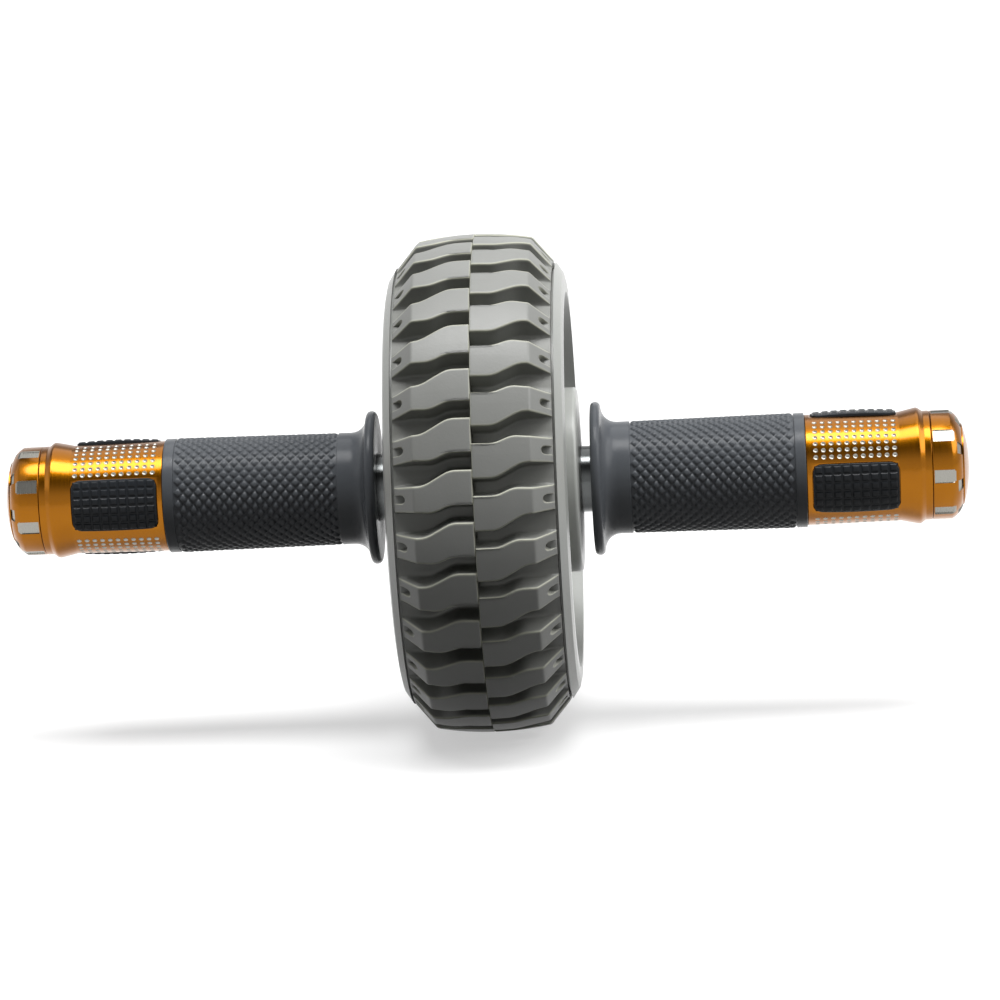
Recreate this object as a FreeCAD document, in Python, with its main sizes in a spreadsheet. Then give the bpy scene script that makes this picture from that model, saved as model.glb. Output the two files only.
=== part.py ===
"""Ab wheel roller: a lugged wheel on ball bearings, with a handle on each end of its axle.

Millimetres. The axle lies along X, +Z is up, and the origin is the centre of the wheel.
Each piece is drawn for the right-hand side. Its left-hand twin is the same piece, turned
half round about Z.
"""
import FreeCAD, Part
import math
import os

import Sketcher

SIDES = ("left", "right")

# Lengths in millimetres, angles in degrees. Angles of the handles are measured upwards
# from the front, and lug phases round the axle.
DIMENSIONS = {
    # Clearances
    "fit": 0.05,
    "pad_slack": 0.1,
    "race_clearance": 0.04,
    "axle_clearance": 0.6,
    # Tyre
    "wheel_radius": 82.5,
    "crown_radius": 100,
    "crown_half_width": 18.8,
    "tread_half_width": 25.4,
    "shoulder_drop": 9.7,
    "shoulder_step": 0.5,
    "groove_depth": 7,
    "tyre_wall": 4.3,
    "lug_count": 31,
    "lug_width": 11.3,
    "lug_inner_run": 7,
    "lug_upper_knee": 13.2,
    "lug_lower_knee": 15.8,
    "lug_upper_step": 2.3,
    "lug_lower_step": 4.8,
    "lug_slot_width": 3,
    "lug_slot_length": 3.7,
    "lug_slot_round": 0.9,
    "lug_phase_left": 7.95,
    "lug_phase_right": 1.7,
    # Rim
    "drum_wall": 4,
    "lip_bead": 2,
    "lip_gap": 0.8,
    "lip_slope_width": 2.25,
    "lip_slope_fall": 3.4,
    "lip_ease_width": 0.6,
    "lip_ease_fall": 2.6,
    "lip_land": 4,
    "dish_slope": 1.8,
    "dish_depth": 4.5,
    "web_thickness": 4,
    "barrel_wall": 5,
    "seat_lip": 2,
    "rim_screw_count": 6,
    "rim_screw_circle": 45,
    "rim_boss_radius": 5,
    "rim_screw_radius": 2,
    "rim_screw_reach": 14,
    "rim_screw_spare": 2,
    "rim_screw_play": 0.2,
    "rim_head_radius": 3.8,
    "rim_head_height": 3,
    "rim_head_sink": 0.5,
    "rim_head_room": 0.4,
    "rim_drive_radius": 1.8,
    "rim_drive_depth": 1.6,
    # Hub cap
    "cap_side_wall": 3.45,
    "cap_recess": 1.5,
    "cap_end_wall": 1.5,
    "cap_face_rise": 0.7,
    "cap_edge_round": 1.2,
    # Axle, bearings and retaining rings
    "axle_radius": 11,
    "axle_wall": 2,
    "spacer_length": 34,
    "spacer_wall": 2.45,
    "bearing_width": 12,
    "bearing_section": 11,
    "bearing_round": 0.6,
    "ball_count": 9,
    "ball_radius": 3.57,
    "race_slack": 0.15,
    "ring_gap": 4.8,
    "cage_thickness": 2.2,
    "cage_width": 8.6,
    "cage_slack": 0.15,
    "shield_inset": 0.5,
    "shield_thickness": 0.4,
    "shield_gap": 0.3,
    "clip_play": 0.05,
    "clip_thickness": 1.2,
    "clip_depth": 0.5,
    "clip_width": 3.2,
    "clip_opening": 40,
    "clip_ear_radius": 2,
    "clip_eye_radius": 0.9,
    # Grip
    "handle_gap": 3.4,
    "grip_length": 70.45,
    "core_inset": 1.5,
    "core_wall": 2.45,
    "lip_clearance": 0.3,
    "flange_radius": 25.4,
    "flange_rim": 3.7,
    "flange_round": 1.5,
    "flange_fillet": 5,
    "sleeve_inner_radius": 18.5,
    "sleeve_outer_radius": 19.05,
    "collar_width": 3.5,
    "collar_radius": 18.95,
    "knurl_place": 12.8,
    "knurl_depth": 0.6,
    "knurl_columns": 5,
    "knurl_rows": 10,
    "knurl_groove": 1.2,
    # Gold end body and its pads
    "body_radius": 18.3,
    "neck_place": 30.75,
    "neck_radius": 17.95,
    "crest_place": 37.1,
    "crest_radius": 19.35,
    "crest_round": 1.6,
    "waist_place": 38.85,
    "waist_radius": 18.05,
    "end_body_length": 41.05,
    "socket_length": 25.3,
    "clamp_web": 3,
    "cavity_wall": 3.2,
    "pad_count": 3,
    "pad_start": 1.95,
    "pad_length": 28.3,
    "pad_span": 54,
    "pad_depth": 1.1,
    "pad_edge_rise": 0.15,
    "pad_crown_rise": 1.1,
    "pad_corner": 3,
    "pad_angle_left": 2,
    "pad_angle_right": -12.5,
    # End cap and button
    "spigot_length": 4.5,
    "spigot_wall": 3.4,
    "cap_radius": 18,
    "cap_land": 6.4,
    "cap_length": 10.15,
    "cap_mouth_radius": 13.9,
    "cap_nose_round": 7,
    "notch_count": 8,
    "notch_width": 4.2,
    "notch_start": 0.6,
    "notch_depth": 0.5,
    "notch_angle_left": 25,
    "notch_angle_right": 42,
    "button_step": 0.5,
    "button_rise": 2.55,
    "button_round": 37,
    "button_length": 7,
    # Handle screw
    "plug_length": 20,
    "screw_radius": 4,
    "screw_reach": 17,
    "screw_play": 0.2,
    "head_radius": 6.5,
    "head_height": 5,
    "socket_radius": 3.46,
    "socket_depth": 3,
    "washer_radius": 8.5,
    "washer_thickness": 1.6,
}

# Radii and axial stations that follow from the dimensions, for the right-hand side.
STATIONS = {
    # Tyre and rim, from the tread inwards
    "crown_end_radius": "dim.wheel_radius - dim.crown_radius"
                        " + sqrt(dim.crown_radius ^ 2 - dim.crown_half_width ^ 2)",
    "shoulder_radius": "dim.wheel_radius - dim.shoulder_drop",
    "floor_end_radius": "at.shoulder_radius - dim.shoulder_step",
    "tyre_bore": "at.floor_end_radius - dim.tyre_wall",
    "lug_root": "at.tyre_bore + dim.tyre_wall / 2",
    "lug_low_edge": "dim.lug_lower_step - dim.lug_width",
    "slot_start": "dim.tread_half_width - dim.lug_slot_length",
    "slot_round_end": "at.slot_start + dim.lug_slot_round",
    "slot_middle": "(dim.lug_upper_step + at.lug_low_edge) / 2",
    "slot_high": "at.slot_middle + dim.lug_slot_width / 2",
    "slot_low": "at.slot_middle - dim.lug_slot_width / 2",
    "drum_radius": "at.tyre_bore - dim.fit",
    "drum_inner": "at.drum_radius - dim.drum_wall",
    "lip_start": "dim.tread_half_width + dim.fit",
    "lip_back": "at.lip_start + dim.lip_gap",
    "lip_slope_end": "at.lip_back + dim.lip_slope_width",
    "lip_face": "at.lip_slope_end + dim.lip_ease_width",
    "lip_land_outer": "at.floor_end_radius - dim.lip_slope_fall - dim.lip_ease_fall",
    "lip_land_inner": "at.lip_land_outer - dim.lip_land",
    "dish_face": "at.lip_face - dim.dish_depth",
    "web_back": "at.dish_face - dim.web_thickness",
    # Axle, bearings and hub, from the axle outwards
    "axle_bore": "dim.axle_radius - dim.axle_wall",
    "running_bore": "dim.axle_radius + dim.fit",
    "bearing_start": "dim.spacer_length / 2",
    "bearing_end": "at.bearing_start + dim.bearing_width",
    "bearing_middle": "at.bearing_start + dim.bearing_width / 2",
    "bearing_radius": "dim.axle_radius + dim.bearing_section",
    "pitch_radius": "dim.axle_radius + dim.bearing_section / 2",
    "inner_ring_radius": "at.pitch_radius - dim.ring_gap / 2",
    "outer_ring_radius": "at.pitch_radius + dim.ring_gap / 2",
    "race_radius": "dim.ball_radius + dim.race_slack",
    "race_offset": "dim.race_slack - dim.race_clearance",
    "seat_radius": "at.bearing_radius + dim.fit",
    "barrel_radius": "at.seat_radius + dim.barrel_wall",
    "clip_start": "at.bearing_end + dim.clip_play",
    "clip_end": "at.clip_start + dim.clip_thickness",
    "clip_groove_radius": "dim.axle_radius - dim.clip_depth",
    "clip_bore": "at.clip_groove_radius + dim.fit",
    "clip_radius": "at.clip_bore + dim.clip_width",
    "cap_bore": "at.barrel_radius + dim.fit",
    "boss_radius": "at.cap_bore + dim.cap_side_wall",
    "cap_inside": "at.bearing_end + dim.cap_recess",
    "cap_outside": "at.cap_inside + dim.cap_end_wall",
    "cap_rim": "at.cap_outside - dim.cap_face_rise",
    "cap_eye": "dim.axle_radius + dim.axle_clearance",
    "head_seat": "at.dish_face - dim.rim_head_height - dim.rim_head_sink",
    # Handle, from the wheel outwards
    "handle_start": "at.cap_outside + dim.handle_gap",
    "core_start": "at.handle_start + dim.core_inset",
    "core_radius": "at.running_bore + dim.core_wall",
    "sleeve_bore": "at.core_radius + dim.fit",
    "flange_end": "at.handle_start + dim.flange_rim",
    "flange_wall": "dim.flange_radius - dim.sleeve_inner_radius",
    "grip_end": "at.handle_start + dim.grip_length",
    "knurl_start": "at.handle_start + dim.knurl_place",
    "knurl_end": "at.grip_end - dim.collar_width",
    "sleeve_taper": "(dim.sleeve_outer_radius - dim.sleeve_inner_radius) / (at.knurl_end - at.flange_end)",
    "knurl_start_radius": "dim.sleeve_inner_radius + at.sleeve_taper * (at.knurl_start - at.flange_end)",
    "knurl_root": "(at.sleeve_bore + dim.sleeve_inner_radius - dim.knurl_depth) / 2",
    "knurl_pitch": "(at.knurl_end - at.knurl_start) / dim.knurl_columns",
    "knurl_row_half": "dim.sleeve_outer_radius * sin(180 / dim.knurl_rows)",
    "diamond_side": "sqrt(at.knurl_pitch ^ 2 / 4 + at.knurl_row_half ^ 2)",
    "diamond_share": "1 - dim.knurl_groove * at.diamond_side / (at.knurl_pitch * at.knurl_row_half)",
    "diamond_reach": "at.diamond_share * at.knurl_pitch / 2",
    "diamond_half": "at.diamond_share * at.knurl_row_half",
    "pad_begin": "at.grip_end + dim.pad_start",
    "pad_end": "at.pad_begin + dim.pad_length",
    "pad_floor": "dim.body_radius - dim.pad_depth",
    "neck": "at.grip_end + dim.neck_place",
    "crest": "at.grip_end + dim.crest_place",
    "waist": "at.grip_end + dim.waist_place",
    "body_end": "at.grip_end + dim.end_body_length",
    "axle_end": "at.grip_end + dim.socket_length",
    "web_end": "at.axle_end + dim.clamp_web",
    "washer_end": "at.web_end + dim.washer_thickness",
    "head_end": "at.washer_end + dim.head_height",
    "cavity_radius": "dim.waist_radius - dim.cavity_wall",
    "spigot_radius": "at.cavity_radius - dim.fit",
    "spigot_bore": "at.spigot_radius - dim.spigot_wall",
    "cap_end": "at.body_end + dim.cap_length",
    "stem_radius": "at.spigot_bore - dim.fit",
    "dome_radius": "dim.cap_mouth_radius - dim.button_step",
}

# Overlap of cutting tools and pads with what they cut or join, room that a trimming tool leaves
# over the corners of what it trims, and tolerances of tests
MARGIN = 1.0
TRIM_ROOM = 3.0
TINY = 1e-6
NEAR = 1e-3

# Largest shares that the flange's roundings may take of its rim, its wall and its neck
RIM_SHARE = 0.48
WALL_SHARE = 0.3
NECK_SHARE = 0.68

DOC = FreeCAD.newDocument("ab_wheel_roller")


def fill_sheet(name, cells):
    """Make a sheet with one aliased cell for each entry."""
    sheet = DOC.addObject("Spreadsheet::Sheet", name)
    for row, (alias, content) in enumerate(cells.items(), start=1):
        sheet.set(f"A{row}", alias)
        sheet.set(f"B{row}", str(content))
        sheet.setAlias(f"B{row}", alias)
    DOC.recompute()
    return sheet


DIM = fill_sheet("dim", DIMENSIONS)
AT = fill_sheet("at", {alias: "=" + rule for alias, rule in STATIONS.items()})


def value(expression):
    """Number that an expression over the sheets gives now."""
    return float(DIM.evalExpression(expression))


def new_body(label):
    """Empty body whose label names its file."""
    body = DOC.addObject("PartDesign::Body", label)
    body.Label = label
    return body


def origin_part(body, role):
    """Plane or axis of a body's own origin."""
    return next(item for item in body.Origin.OriginFeatures if item.Role == role)


def new_sketch(body, plane, lift=None):
    """Empty sketch on one of the body's origin planes, lifted along its normal by an expression."""
    sketch = body.newObject("Sketcher::SketchObject", "Sketch")
    sketch.AttachmentSupport = [(origin_part(body, plane), "")]
    sketch.MapMode = "FlatFace"
    if lift:
        sketch.setExpression("AttachmentOffset.Base.z", lift)
    return sketch


def tilted_sketch(body, lift, tilt):
    """Empty sketch lifted off the axle and turned about it from the top, both by expressions."""
    sketch = new_sketch(body, "XY_Plane", f"({lift}) * cos({tilt})")
    about_x = FreeCAD.Rotation(FreeCAD.Vector(1, 0, 0), value(tilt))
    sketch.AttachmentOffset = FreeCAD.Placement(FreeCAD.Vector(), about_x)
    sketch.setExpression("AttachmentOffset.Rotation.Angle", tilt)
    sketch.setExpression("AttachmentOffset.Base.y", f"-({lift}) * sin({tilt})")
    return sketch


def arc_between(start, end, radius):
    """Arc from start to end: a positive radius bulges away from the axle, a negative one towards it."""
    chord = end - start
    rise = abs(radius) - math.sqrt(radius ** 2 - (chord.Length / 2) ** 2)
    outward = FreeCAD.Vector(-chord.y, chord.x, 0).normalize()
    if outward.y < 0:
        outward = outward.negative()
    middle = (start + end) / 2 + outward * math.copysign(rise, radius)
    anticlockwise = (middle - start).cross(end - middle).z > 0
    return Part.Arc(start, middle, end) if anticlockwise else Part.Arc(end, middle, start)


def constrain(sketch, constraint, expression):
    """Add a sized constraint that follows an expression."""
    index = sketch.addConstraint(constraint)
    sketch.setExpression(f"Constraints[{index}]", expression)


def pin(sketch, point, place):
    """Hold a sketch point at a place, given as a pair of expressions."""
    origin = (-1, 1)
    for kind, axis, expression in (("DistanceX", -2, place[0]), ("DistanceY", -1, place[1])):
        size = value(expression)
        if abs(size) < TINY:
            sketch.addConstraint(Sketcher.Constraint("PointOnObject", *point, axis))
        elif size > 0:
            constrain(sketch, Sketcher.Constraint(kind, *origin, *point, size), expression)
        else:
            constrain(sketch, Sketcher.Constraint(kind, *point, *origin, -size), f"-({expression})")


def draw_outline(sketch, corners):
    """Closed outline through corners, each (x, y) or (x, y, radius of the arc to the next corner)."""
    places = [FreeCAD.Vector(value(corner[0]), value(corner[1]), 0) for corner in corners]
    starts = []
    ends = []
    for number, corner in enumerate(corners):
        here = places[number]
        there = places[(number + 1) % len(places)]
        curved = len(corner) > 2
        edge = arc_between(here, there, value(corner[2])) if curved else Part.LineSegment(here, there)
        index = sketch.addGeometry(edge)
        if curved:
            radius = Sketcher.Constraint("Radius", index, abs(value(corner[2])))
            constrain(sketch, radius, f"abs({corner[2]})")
        forward = (sketch.Geometry[index].StartPoint - here).Length < TINY
        starts.append((index, 1 if forward else 2))
        ends.append((index, 2 if forward else 1))
    for number, corner in enumerate(corners):
        sketch.addConstraint(Sketcher.Constraint("Coincident", *ends[number - 1], *starts[number]))
        pin(sketch, starts[number], corner)
    return sketch


def draw_circle(sketch, centre, radius):
    """Circle about a centre given as a pair of expressions."""
    middle = FreeCAD.Vector(value(centre[0]), value(centre[1]), 0)
    number = sketch.addGeometry(Part.Circle(middle, FreeCAD.Vector(0, 0, 1), value(radius)))
    constrain(sketch, Sketcher.Constraint("Radius", number, value(radius)), radius)
    pin(sketch, (number, 3), centre)
    return sketch


def add_feature(body, kind, **settings):
    """Feature at the end of a body's history."""
    feature = body.newObject(f"PartDesign::{kind}", kind)
    for key, setting in settings.items():
        setattr(feature, key, setting)
    body.Tip = feature
    return feature


def turn_round(body, kind, sketch, angle=None):
    """Revolution or Groove of a sketch about the axle, a full turn or an angle astride the sketch."""
    feature = add_feature(body, kind, Profile=sketch, ReferenceAxis=(sketch, ["H_Axis"]), Angle=360)
    if angle:
        feature.Midplane = True
        feature.setExpression("Angle", angle)
    return feature


def turned(body, corners, angle=None):
    """Turned solid from a profile of (station, radius) corners."""
    sketch = draw_outline(new_sketch(body, "XZ_Plane"), corners)
    return turn_round(body, "Revolution", sketch, angle)


def ring(body, start, end, inner, outer):
    """Plain turned ring between two stations and two radii."""
    return turned(body, [(start, inner), (end, inner), (end, outer), (start, outer)])


def extrude(body, kind, sketch, length):
    """Pad of a sketch along its normal, or a Pocket that cuts the same way."""
    feature = add_feature(body, kind, Profile=sketch, Reversed=(kind == "Pocket"))
    feature.setExpression("Length", length)
    return feature


def repeat_round(body, originals, count):
    """Copies of features, evenly spaced round the axle."""
    pattern = add_feature(body, "PolarPattern", Originals=originals, Angle=360)
    pattern.Axis = (origin_part(body, "X_Axis"), [""])
    pattern.setExpression("Occurrences", count)
    return pattern


def round_edges(body, chosen, radius):
    """Fillet on the edges of a body that a test chooses."""
    DOC.recompute()
    base = body.Tip
    names = [f"Edge{k}" for k, edge in enumerate(base.Shape.Edges, start=1) if chosen(edge)]
    fillet = add_feature(body, "Fillet", Base=(base, names))
    fillet.setExpression("Radius", radius)
    return fillet


def circle_at(*rims):
    """Test for circular edges about the axle, each given as (station, radius)."""
    wanted = [(value(station), value(radius)) for station, radius in rims]

    def chosen(edge):
        if not isinstance(edge.Curve, Part.Circle):
            return False
        found = (edge.Curve.Center.x, edge.Curve.Radius)
        return any(math.dist(found, rim) < NEAR for rim in wanted)

    return chosen


def upright_at(*stations):
    """Test for straight edges that stand square to the axle at a station."""
    wanted = [value(station) for station in stations]

    def chosen(edge):
        if not isinstance(edge.Curve, Part.Line):
            return False
        first, last = (vertex.X for vertex in edge.Vertexes)
        return abs(first - last) < TINY and any(abs(first - station) < NEAR for station in wanted)

    return chosen


def seat(body, side, turn=0.0):
    """Put a piece on its side of the wheel, turned about the axle in its own frame first."""
    half_turn = 180 if side == "left" else 0
    about_z = FreeCAD.Rotation(FreeCAD.Vector(0, 0, 1), half_turn)
    about_x = FreeCAD.Rotation(FreeCAD.Vector(1, 0, 0), turn)
    body.Placement = FreeCAD.Placement(FreeCAD.Vector(), about_z.multiply(about_x))


def turn_to(side, angle):
    """Turn that brings the top of a piece to an angle above the front."""
    return value(angle) - 90 if side == "left" else 90 - value(angle)


def make_tyre_half(side):
    """Rubber half tyre: a carcass with lugs, trimmed to the crown and the shoulder."""
    body = new_body(f"tyre_half_{side}")
    turned(body, [
        ("0", "at.tyre_bore"),
        ("0", "dim.wheel_radius - dim.groove_depth"),
        ("dim.tread_half_width", "at.floor_end_radius"),
        ("dim.tread_half_width", "at.tyre_bore"),
    ])
    lug = draw_outline(new_sketch(body, "XY_Plane", "at.lug_root"), [
        ("0", "0"),
        ("0", "-dim.lug_width"),
        ("dim.lug_inner_run", "-dim.lug_width"),
        ("dim.lug_lower_knee", "at.lug_low_edge"),
        ("dim.tread_half_width", "at.lug_low_edge"),
        ("dim.tread_half_width", "at.slot_low"),
        ("at.slot_round_end", "at.slot_low"),
        ("at.slot_start", "at.slot_low + dim.lug_slot_round"),
        ("at.slot_start", "at.slot_high - dim.lug_slot_round"),
        ("at.slot_round_end", "at.slot_high"),
        ("dim.tread_half_width", "at.slot_high"),
        ("dim.tread_half_width", "dim.lug_upper_step"),
        ("dim.lug_upper_knee", "dim.lug_upper_step"),
        ("dim.lug_inner_run", "0"),
    ])
    block = extrude(body, "Pad", lug, f"dim.wheel_radius - at.lug_root + {MARGIN}")
    repeat_round(body, [block], "dim.lug_count")
    chamfer_slope = "(at.crown_end_radius - at.shoulder_radius)" \
                    " / (dim.tread_half_width - dim.crown_half_width)"
    clear_radius = f"dim.wheel_radius + {TRIM_ROOM}"
    clear_width = f"dim.tread_half_width + {MARGIN}"
    envelope = draw_outline(new_sketch(body, "XZ_Plane"), [
        (f"-{MARGIN}", "dim.wheel_radius"),
        ("0", "dim.wheel_radius", "dim.crown_radius"),
        ("dim.crown_half_width", "at.crown_end_radius"),
        (clear_width, f"at.shoulder_radius - {MARGIN} * {chamfer_slope}"),
        (clear_width, clear_radius),
        (f"-{MARGIN}", clear_radius),
    ])
    turn_round(body, "Groove", envelope)
    seat(body, side, value(f"dim.lug_phase_{side}"))


def make_rim_half(side):
    """Plastic half rim: drum, lip, dished web, hub barrel with a bearing seat, and screw bosses."""
    body = new_body(f"rim_half_{side}")
    turned(body, [
        ("0", "at.drum_inner"),
        ("0", "at.drum_radius"),
        ("at.lip_start", "at.drum_radius"),
        ("at.lip_start", "at.drum_radius + dim.lip_bead"),
        ("at.lip_back", "at.drum_radius + dim.lip_bead"),
        ("at.lip_back", "at.floor_end_radius"),
        ("at.lip_slope_end", "at.floor_end_radius - dim.lip_slope_fall"),
        ("at.lip_face", "at.lip_land_outer"),
        ("at.lip_face", "at.lip_land_inner"),
        ("at.dish_face", "at.lip_land_inner - dim.dish_slope"),
        ("at.dish_face", "at.barrel_radius"),
        ("at.bearing_end", "at.barrel_radius"),
        ("at.bearing_end", "at.seat_radius"),
        ("at.bearing_start", "at.seat_radius"),
        ("at.bearing_start", "at.seat_radius - dim.seat_lip"),
        ("0", "at.seat_radius - dim.seat_lip"),
        ("0", "at.barrel_radius"),
        ("at.web_back", "at.barrel_radius"),
        ("at.web_back", "at.drum_inner"),
    ])
    place = ("0", "dim.rim_screw_circle")
    boss = draw_circle(new_sketch(body, "YZ_Plane"), place, "dim.rim_boss_radius")
    features = [extrude(body, "Pad", boss, "at.web_back + dim.web_thickness / 2")]
    if side == "right":
        pilot = draw_circle(new_sketch(body, "YZ_Plane"), place, "dim.rim_screw_radius + dim.fit")
        features.append(extrude(body, "Pocket", pilot, "dim.rim_screw_reach + dim.rim_screw_spare"))
    else:
        shank_radius = "dim.rim_screw_radius + dim.rim_screw_play"
        shank = draw_circle(new_sketch(body, "YZ_Plane"), place, shank_radius)
        features.append(extrude(body, "Pocket", shank, "at.dish_face"))
        sink = new_sketch(body, "YZ_Plane", "at.head_seat")
        draw_circle(sink, place, "dim.rim_head_radius + dim.rim_head_room")
        features.append(extrude(body, "Pocket", sink, "at.dish_face - at.head_seat"))
    repeat_round(body, features, "dim.rim_screw_count")
    seat(body, side)


def make_rim_screws():
    """Screws that draw the rim halves together, put in from the left."""
    body = new_body("rim_screws")
    place = ("0", "dim.rim_screw_circle")
    shank = draw_circle(new_sketch(body, "YZ_Plane", "-dim.rim_screw_reach"), place, "dim.rim_screw_radius")
    head = draw_circle(new_sketch(body, "YZ_Plane", "at.head_seat"), place, "dim.rim_head_radius")
    drive_floor = "at.head_seat + dim.rim_head_height - dim.rim_drive_depth"
    drive = new_sketch(body, "YZ_Plane", drive_floor)
    draw_hexagon(drive, "dim.rim_drive_radius", "dim.rim_screw_circle")
    features = [
        extrude(body, "Pad", shank, "at.head_seat + dim.rim_screw_reach"),
        extrude(body, "Pad", head, "dim.rim_head_height"),
        extrude(body, "Pocket", drive, f"dim.rim_drive_depth + {MARGIN}"),
    ]
    repeat_round(body, features, "dim.rim_screw_count")
    seat(body, "left")


def draw_hexagon(sketch, radius, height="0"):
    """Regular hexagon with corners at a radius, about a point at a height on the sketch's Y axis."""
    draw_outline(sketch, [
        (f"{radius} * cos({60 * k})", f"{height} + {radius} * sin({60 * k})") for k in range(6)
    ])


def make_hub_cap(side):
    """Boss cover that is pushed on the hub barrel and hides the bearing."""
    body = new_body(f"hub_cap_{side}")
    turned(body, [
        ("at.dish_face", "at.cap_bore"),
        ("at.dish_face", "at.boss_radius"),
        ("at.cap_rim", "at.boss_radius"),
        ("at.cap_outside", "at.cap_eye"),
        ("at.cap_inside", "at.cap_eye"),
        ("at.cap_inside", "at.cap_bore"),
    ])
    round_edges(body, circle_at(("at.cap_rim", "at.boss_radius")), "dim.cap_edge_round")
    seat(body, side)


def make_axle():
    """Steel tube with a groove for each retaining ring."""
    body = new_body("axle_tube")
    inner_wall = "at.bearing_end"
    outer_wall = "at.clip_end + dim.clip_play"
    right_half = [
        ("at.axle_end", "dim.axle_radius"),
        (outer_wall, "dim.axle_radius"),
        (outer_wall, "at.clip_groove_radius"),
        (inner_wall, "at.clip_groove_radius"),
        (inner_wall, "dim.axle_radius"),
    ]
    left_half = [(f"-({station})", radius) for station, radius in reversed(right_half)]
    bore = [("-at.axle_end", "at.axle_bore"), ("at.axle_end", "at.axle_bore")]
    turned(body, bore + right_half + left_half)


def make_spacer():
    """Sleeve that keeps the two inner rings apart."""
    body = new_body("bearing_spacer")
    outside = "at.running_bore + dim.spacer_wall"
    ring(body, "-at.bearing_start", "at.bearing_start", "at.running_bore", outside)


def make_bearing(side):
    """Deep groove ball bearing: two rings, balls, cage and a pair of shields."""
    inner = new_body(f"bearing_inner_ring_{side}")
    ring(inner, "at.bearing_start", "at.bearing_end", "at.running_bore", "at.inner_ring_radius")
    inner_race = new_sketch(inner, "XZ_Plane")
    draw_circle(inner_race, ("at.bearing_middle", "at.pitch_radius + at.race_offset"), "at.race_radius")
    turn_round(inner, "Groove", inner_race)

    outer = new_body(f"bearing_outer_ring_{side}")
    ring(outer, "at.bearing_start", "at.bearing_end", "at.outer_ring_radius", "at.bearing_radius")
    outer_race = new_sketch(outer, "XZ_Plane")
    draw_circle(outer_race, ("at.bearing_middle", "at.pitch_radius - at.race_offset"), "at.race_radius")
    turn_round(outer, "Groove", outer_race)
    corners = circle_at(("at.bearing_start", "at.bearing_radius"), ("at.bearing_end", "at.bearing_radius"))
    round_edges(outer, corners, "dim.bearing_round")

    balls = new_body(f"bearing_balls_{side}")
    ball = add_feature(balls, "AdditiveSphere")
    ball.setExpression("Radius", "dim.ball_radius")
    ball.setExpression("Placement.Base.x", "at.bearing_middle")
    ball.setExpression("Placement.Base.z", "at.pitch_radius")
    repeat_round(balls, [ball], "dim.ball_count")

    cage = new_body(f"bearing_cage_{side}")
    ring(
        cage,
        "at.bearing_middle - dim.cage_width / 2", "at.bearing_middle + dim.cage_width / 2",
        "at.pitch_radius - dim.cage_thickness / 2", "at.pitch_radius + dim.cage_thickness / 2",
    )
    window = draw_circle(
        new_sketch(cage, "XY_Plane"), ("at.bearing_middle", "0"), "dim.ball_radius + dim.cage_slack")
    windows = [extrude(cage, "Pocket", window, f"at.pitch_radius + dim.cage_thickness + {MARGIN}")]
    repeat_round(cage, windows, "dim.ball_count")

    shields = new_body(f"bearing_shields_{side}")
    eye = "at.inner_ring_radius + dim.shield_gap"
    edge = "at.outer_ring_radius - dim.fit"
    near = "at.bearing_start + dim.shield_inset"
    far = "at.bearing_end - dim.shield_inset"
    ring(shields, near, f"{near} + dim.shield_thickness", eye, edge)
    ring(shields, f"{far} - dim.shield_thickness", far, eye, edge)

    for body in (inner, outer, balls, cage, shields):
        seat(body, side)


def make_retaining_ring(side):
    """Open spring ring in the axle's groove, with an eyed ear at each end."""
    body = new_body(f"retaining_ring_{side}")
    band = draw_outline(new_sketch(body, "XZ_Plane"), [
        ("at.clip_start", "at.clip_bore"),
        ("at.clip_end", "at.clip_bore"),
        ("at.clip_end", "at.clip_radius"),
        ("at.clip_start", "at.clip_radius"),
    ])
    turn_round(body, "Revolution", band, "360 - dim.clip_opening")
    for sign in ("", "-"):
        angle = f"{sign}(180 - dim.clip_opening / 2 - asin(dim.clip_ear_radius / at.clip_radius) / 1 deg)"
        centre = (f"at.clip_radius * sin({angle})", f"at.clip_radius * cos({angle})")
        ear = draw_circle(new_sketch(body, "YZ_Plane", "at.clip_start"), centre, "dim.clip_ear_radius")
        extrude(body, "Pad", ear, "dim.clip_thickness")
        eye = draw_circle(new_sketch(body, "YZ_Plane", "at.clip_start"), centre, "dim.clip_eye_radius")
        extrude(body, "Pocket", eye, "dim.clip_thickness")
    seat(body, side)


def make_grip(side):
    """Stiff core on the axle and the flanged rubber sleeve over it."""
    core = new_body(f"grip_core_{side}")
    ring(core, "at.core_start", "at.grip_end", "at.running_bore", "at.core_radius")
    seat(core, side)

    sleeve = new_body(f"grip_sleeve_{side}")
    lip_bore = "dim.axle_radius + dim.lip_clearance"
    turned(sleeve, [
        ("at.handle_start", lip_bore),
        ("at.handle_start", "dim.flange_radius"),
        ("at.flange_end", "dim.flange_radius"),
        ("at.flange_end", "dim.sleeve_inner_radius"),
        ("at.knurl_start", "at.knurl_start_radius"),
        ("at.knurl_start", "at.knurl_start_radius - dim.knurl_depth"),
        ("at.knurl_end", "dim.sleeve_outer_radius - dim.knurl_depth"),
        ("at.knurl_end", "dim.collar_radius"),
        ("at.grip_end", "dim.collar_radius"),
        ("at.grip_end", "at.sleeve_bore"),
        ("at.core_start", "at.sleeve_bore"),
        ("at.core_start", lip_bore),
    ])
    rim = circle_at(("at.handle_start", "dim.flange_radius"), ("at.flange_end", "dim.flange_radius"))
    neck = circle_at(("at.flange_end", "dim.sleeve_inner_radius"))
    rim_limit = f"{RIM_SHARE} * dim.flange_rim; {WALL_SHARE} * at.flange_wall"
    round_edges(sleeve, rim, f"min(dim.flange_round; {rim_limit})")
    round_edges(sleeve, neck, f"min(dim.flange_fillet; {NECK_SHARE} * at.flange_wall)")
    raise_diamonds(sleeve)
    seat(sleeve, side)


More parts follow.
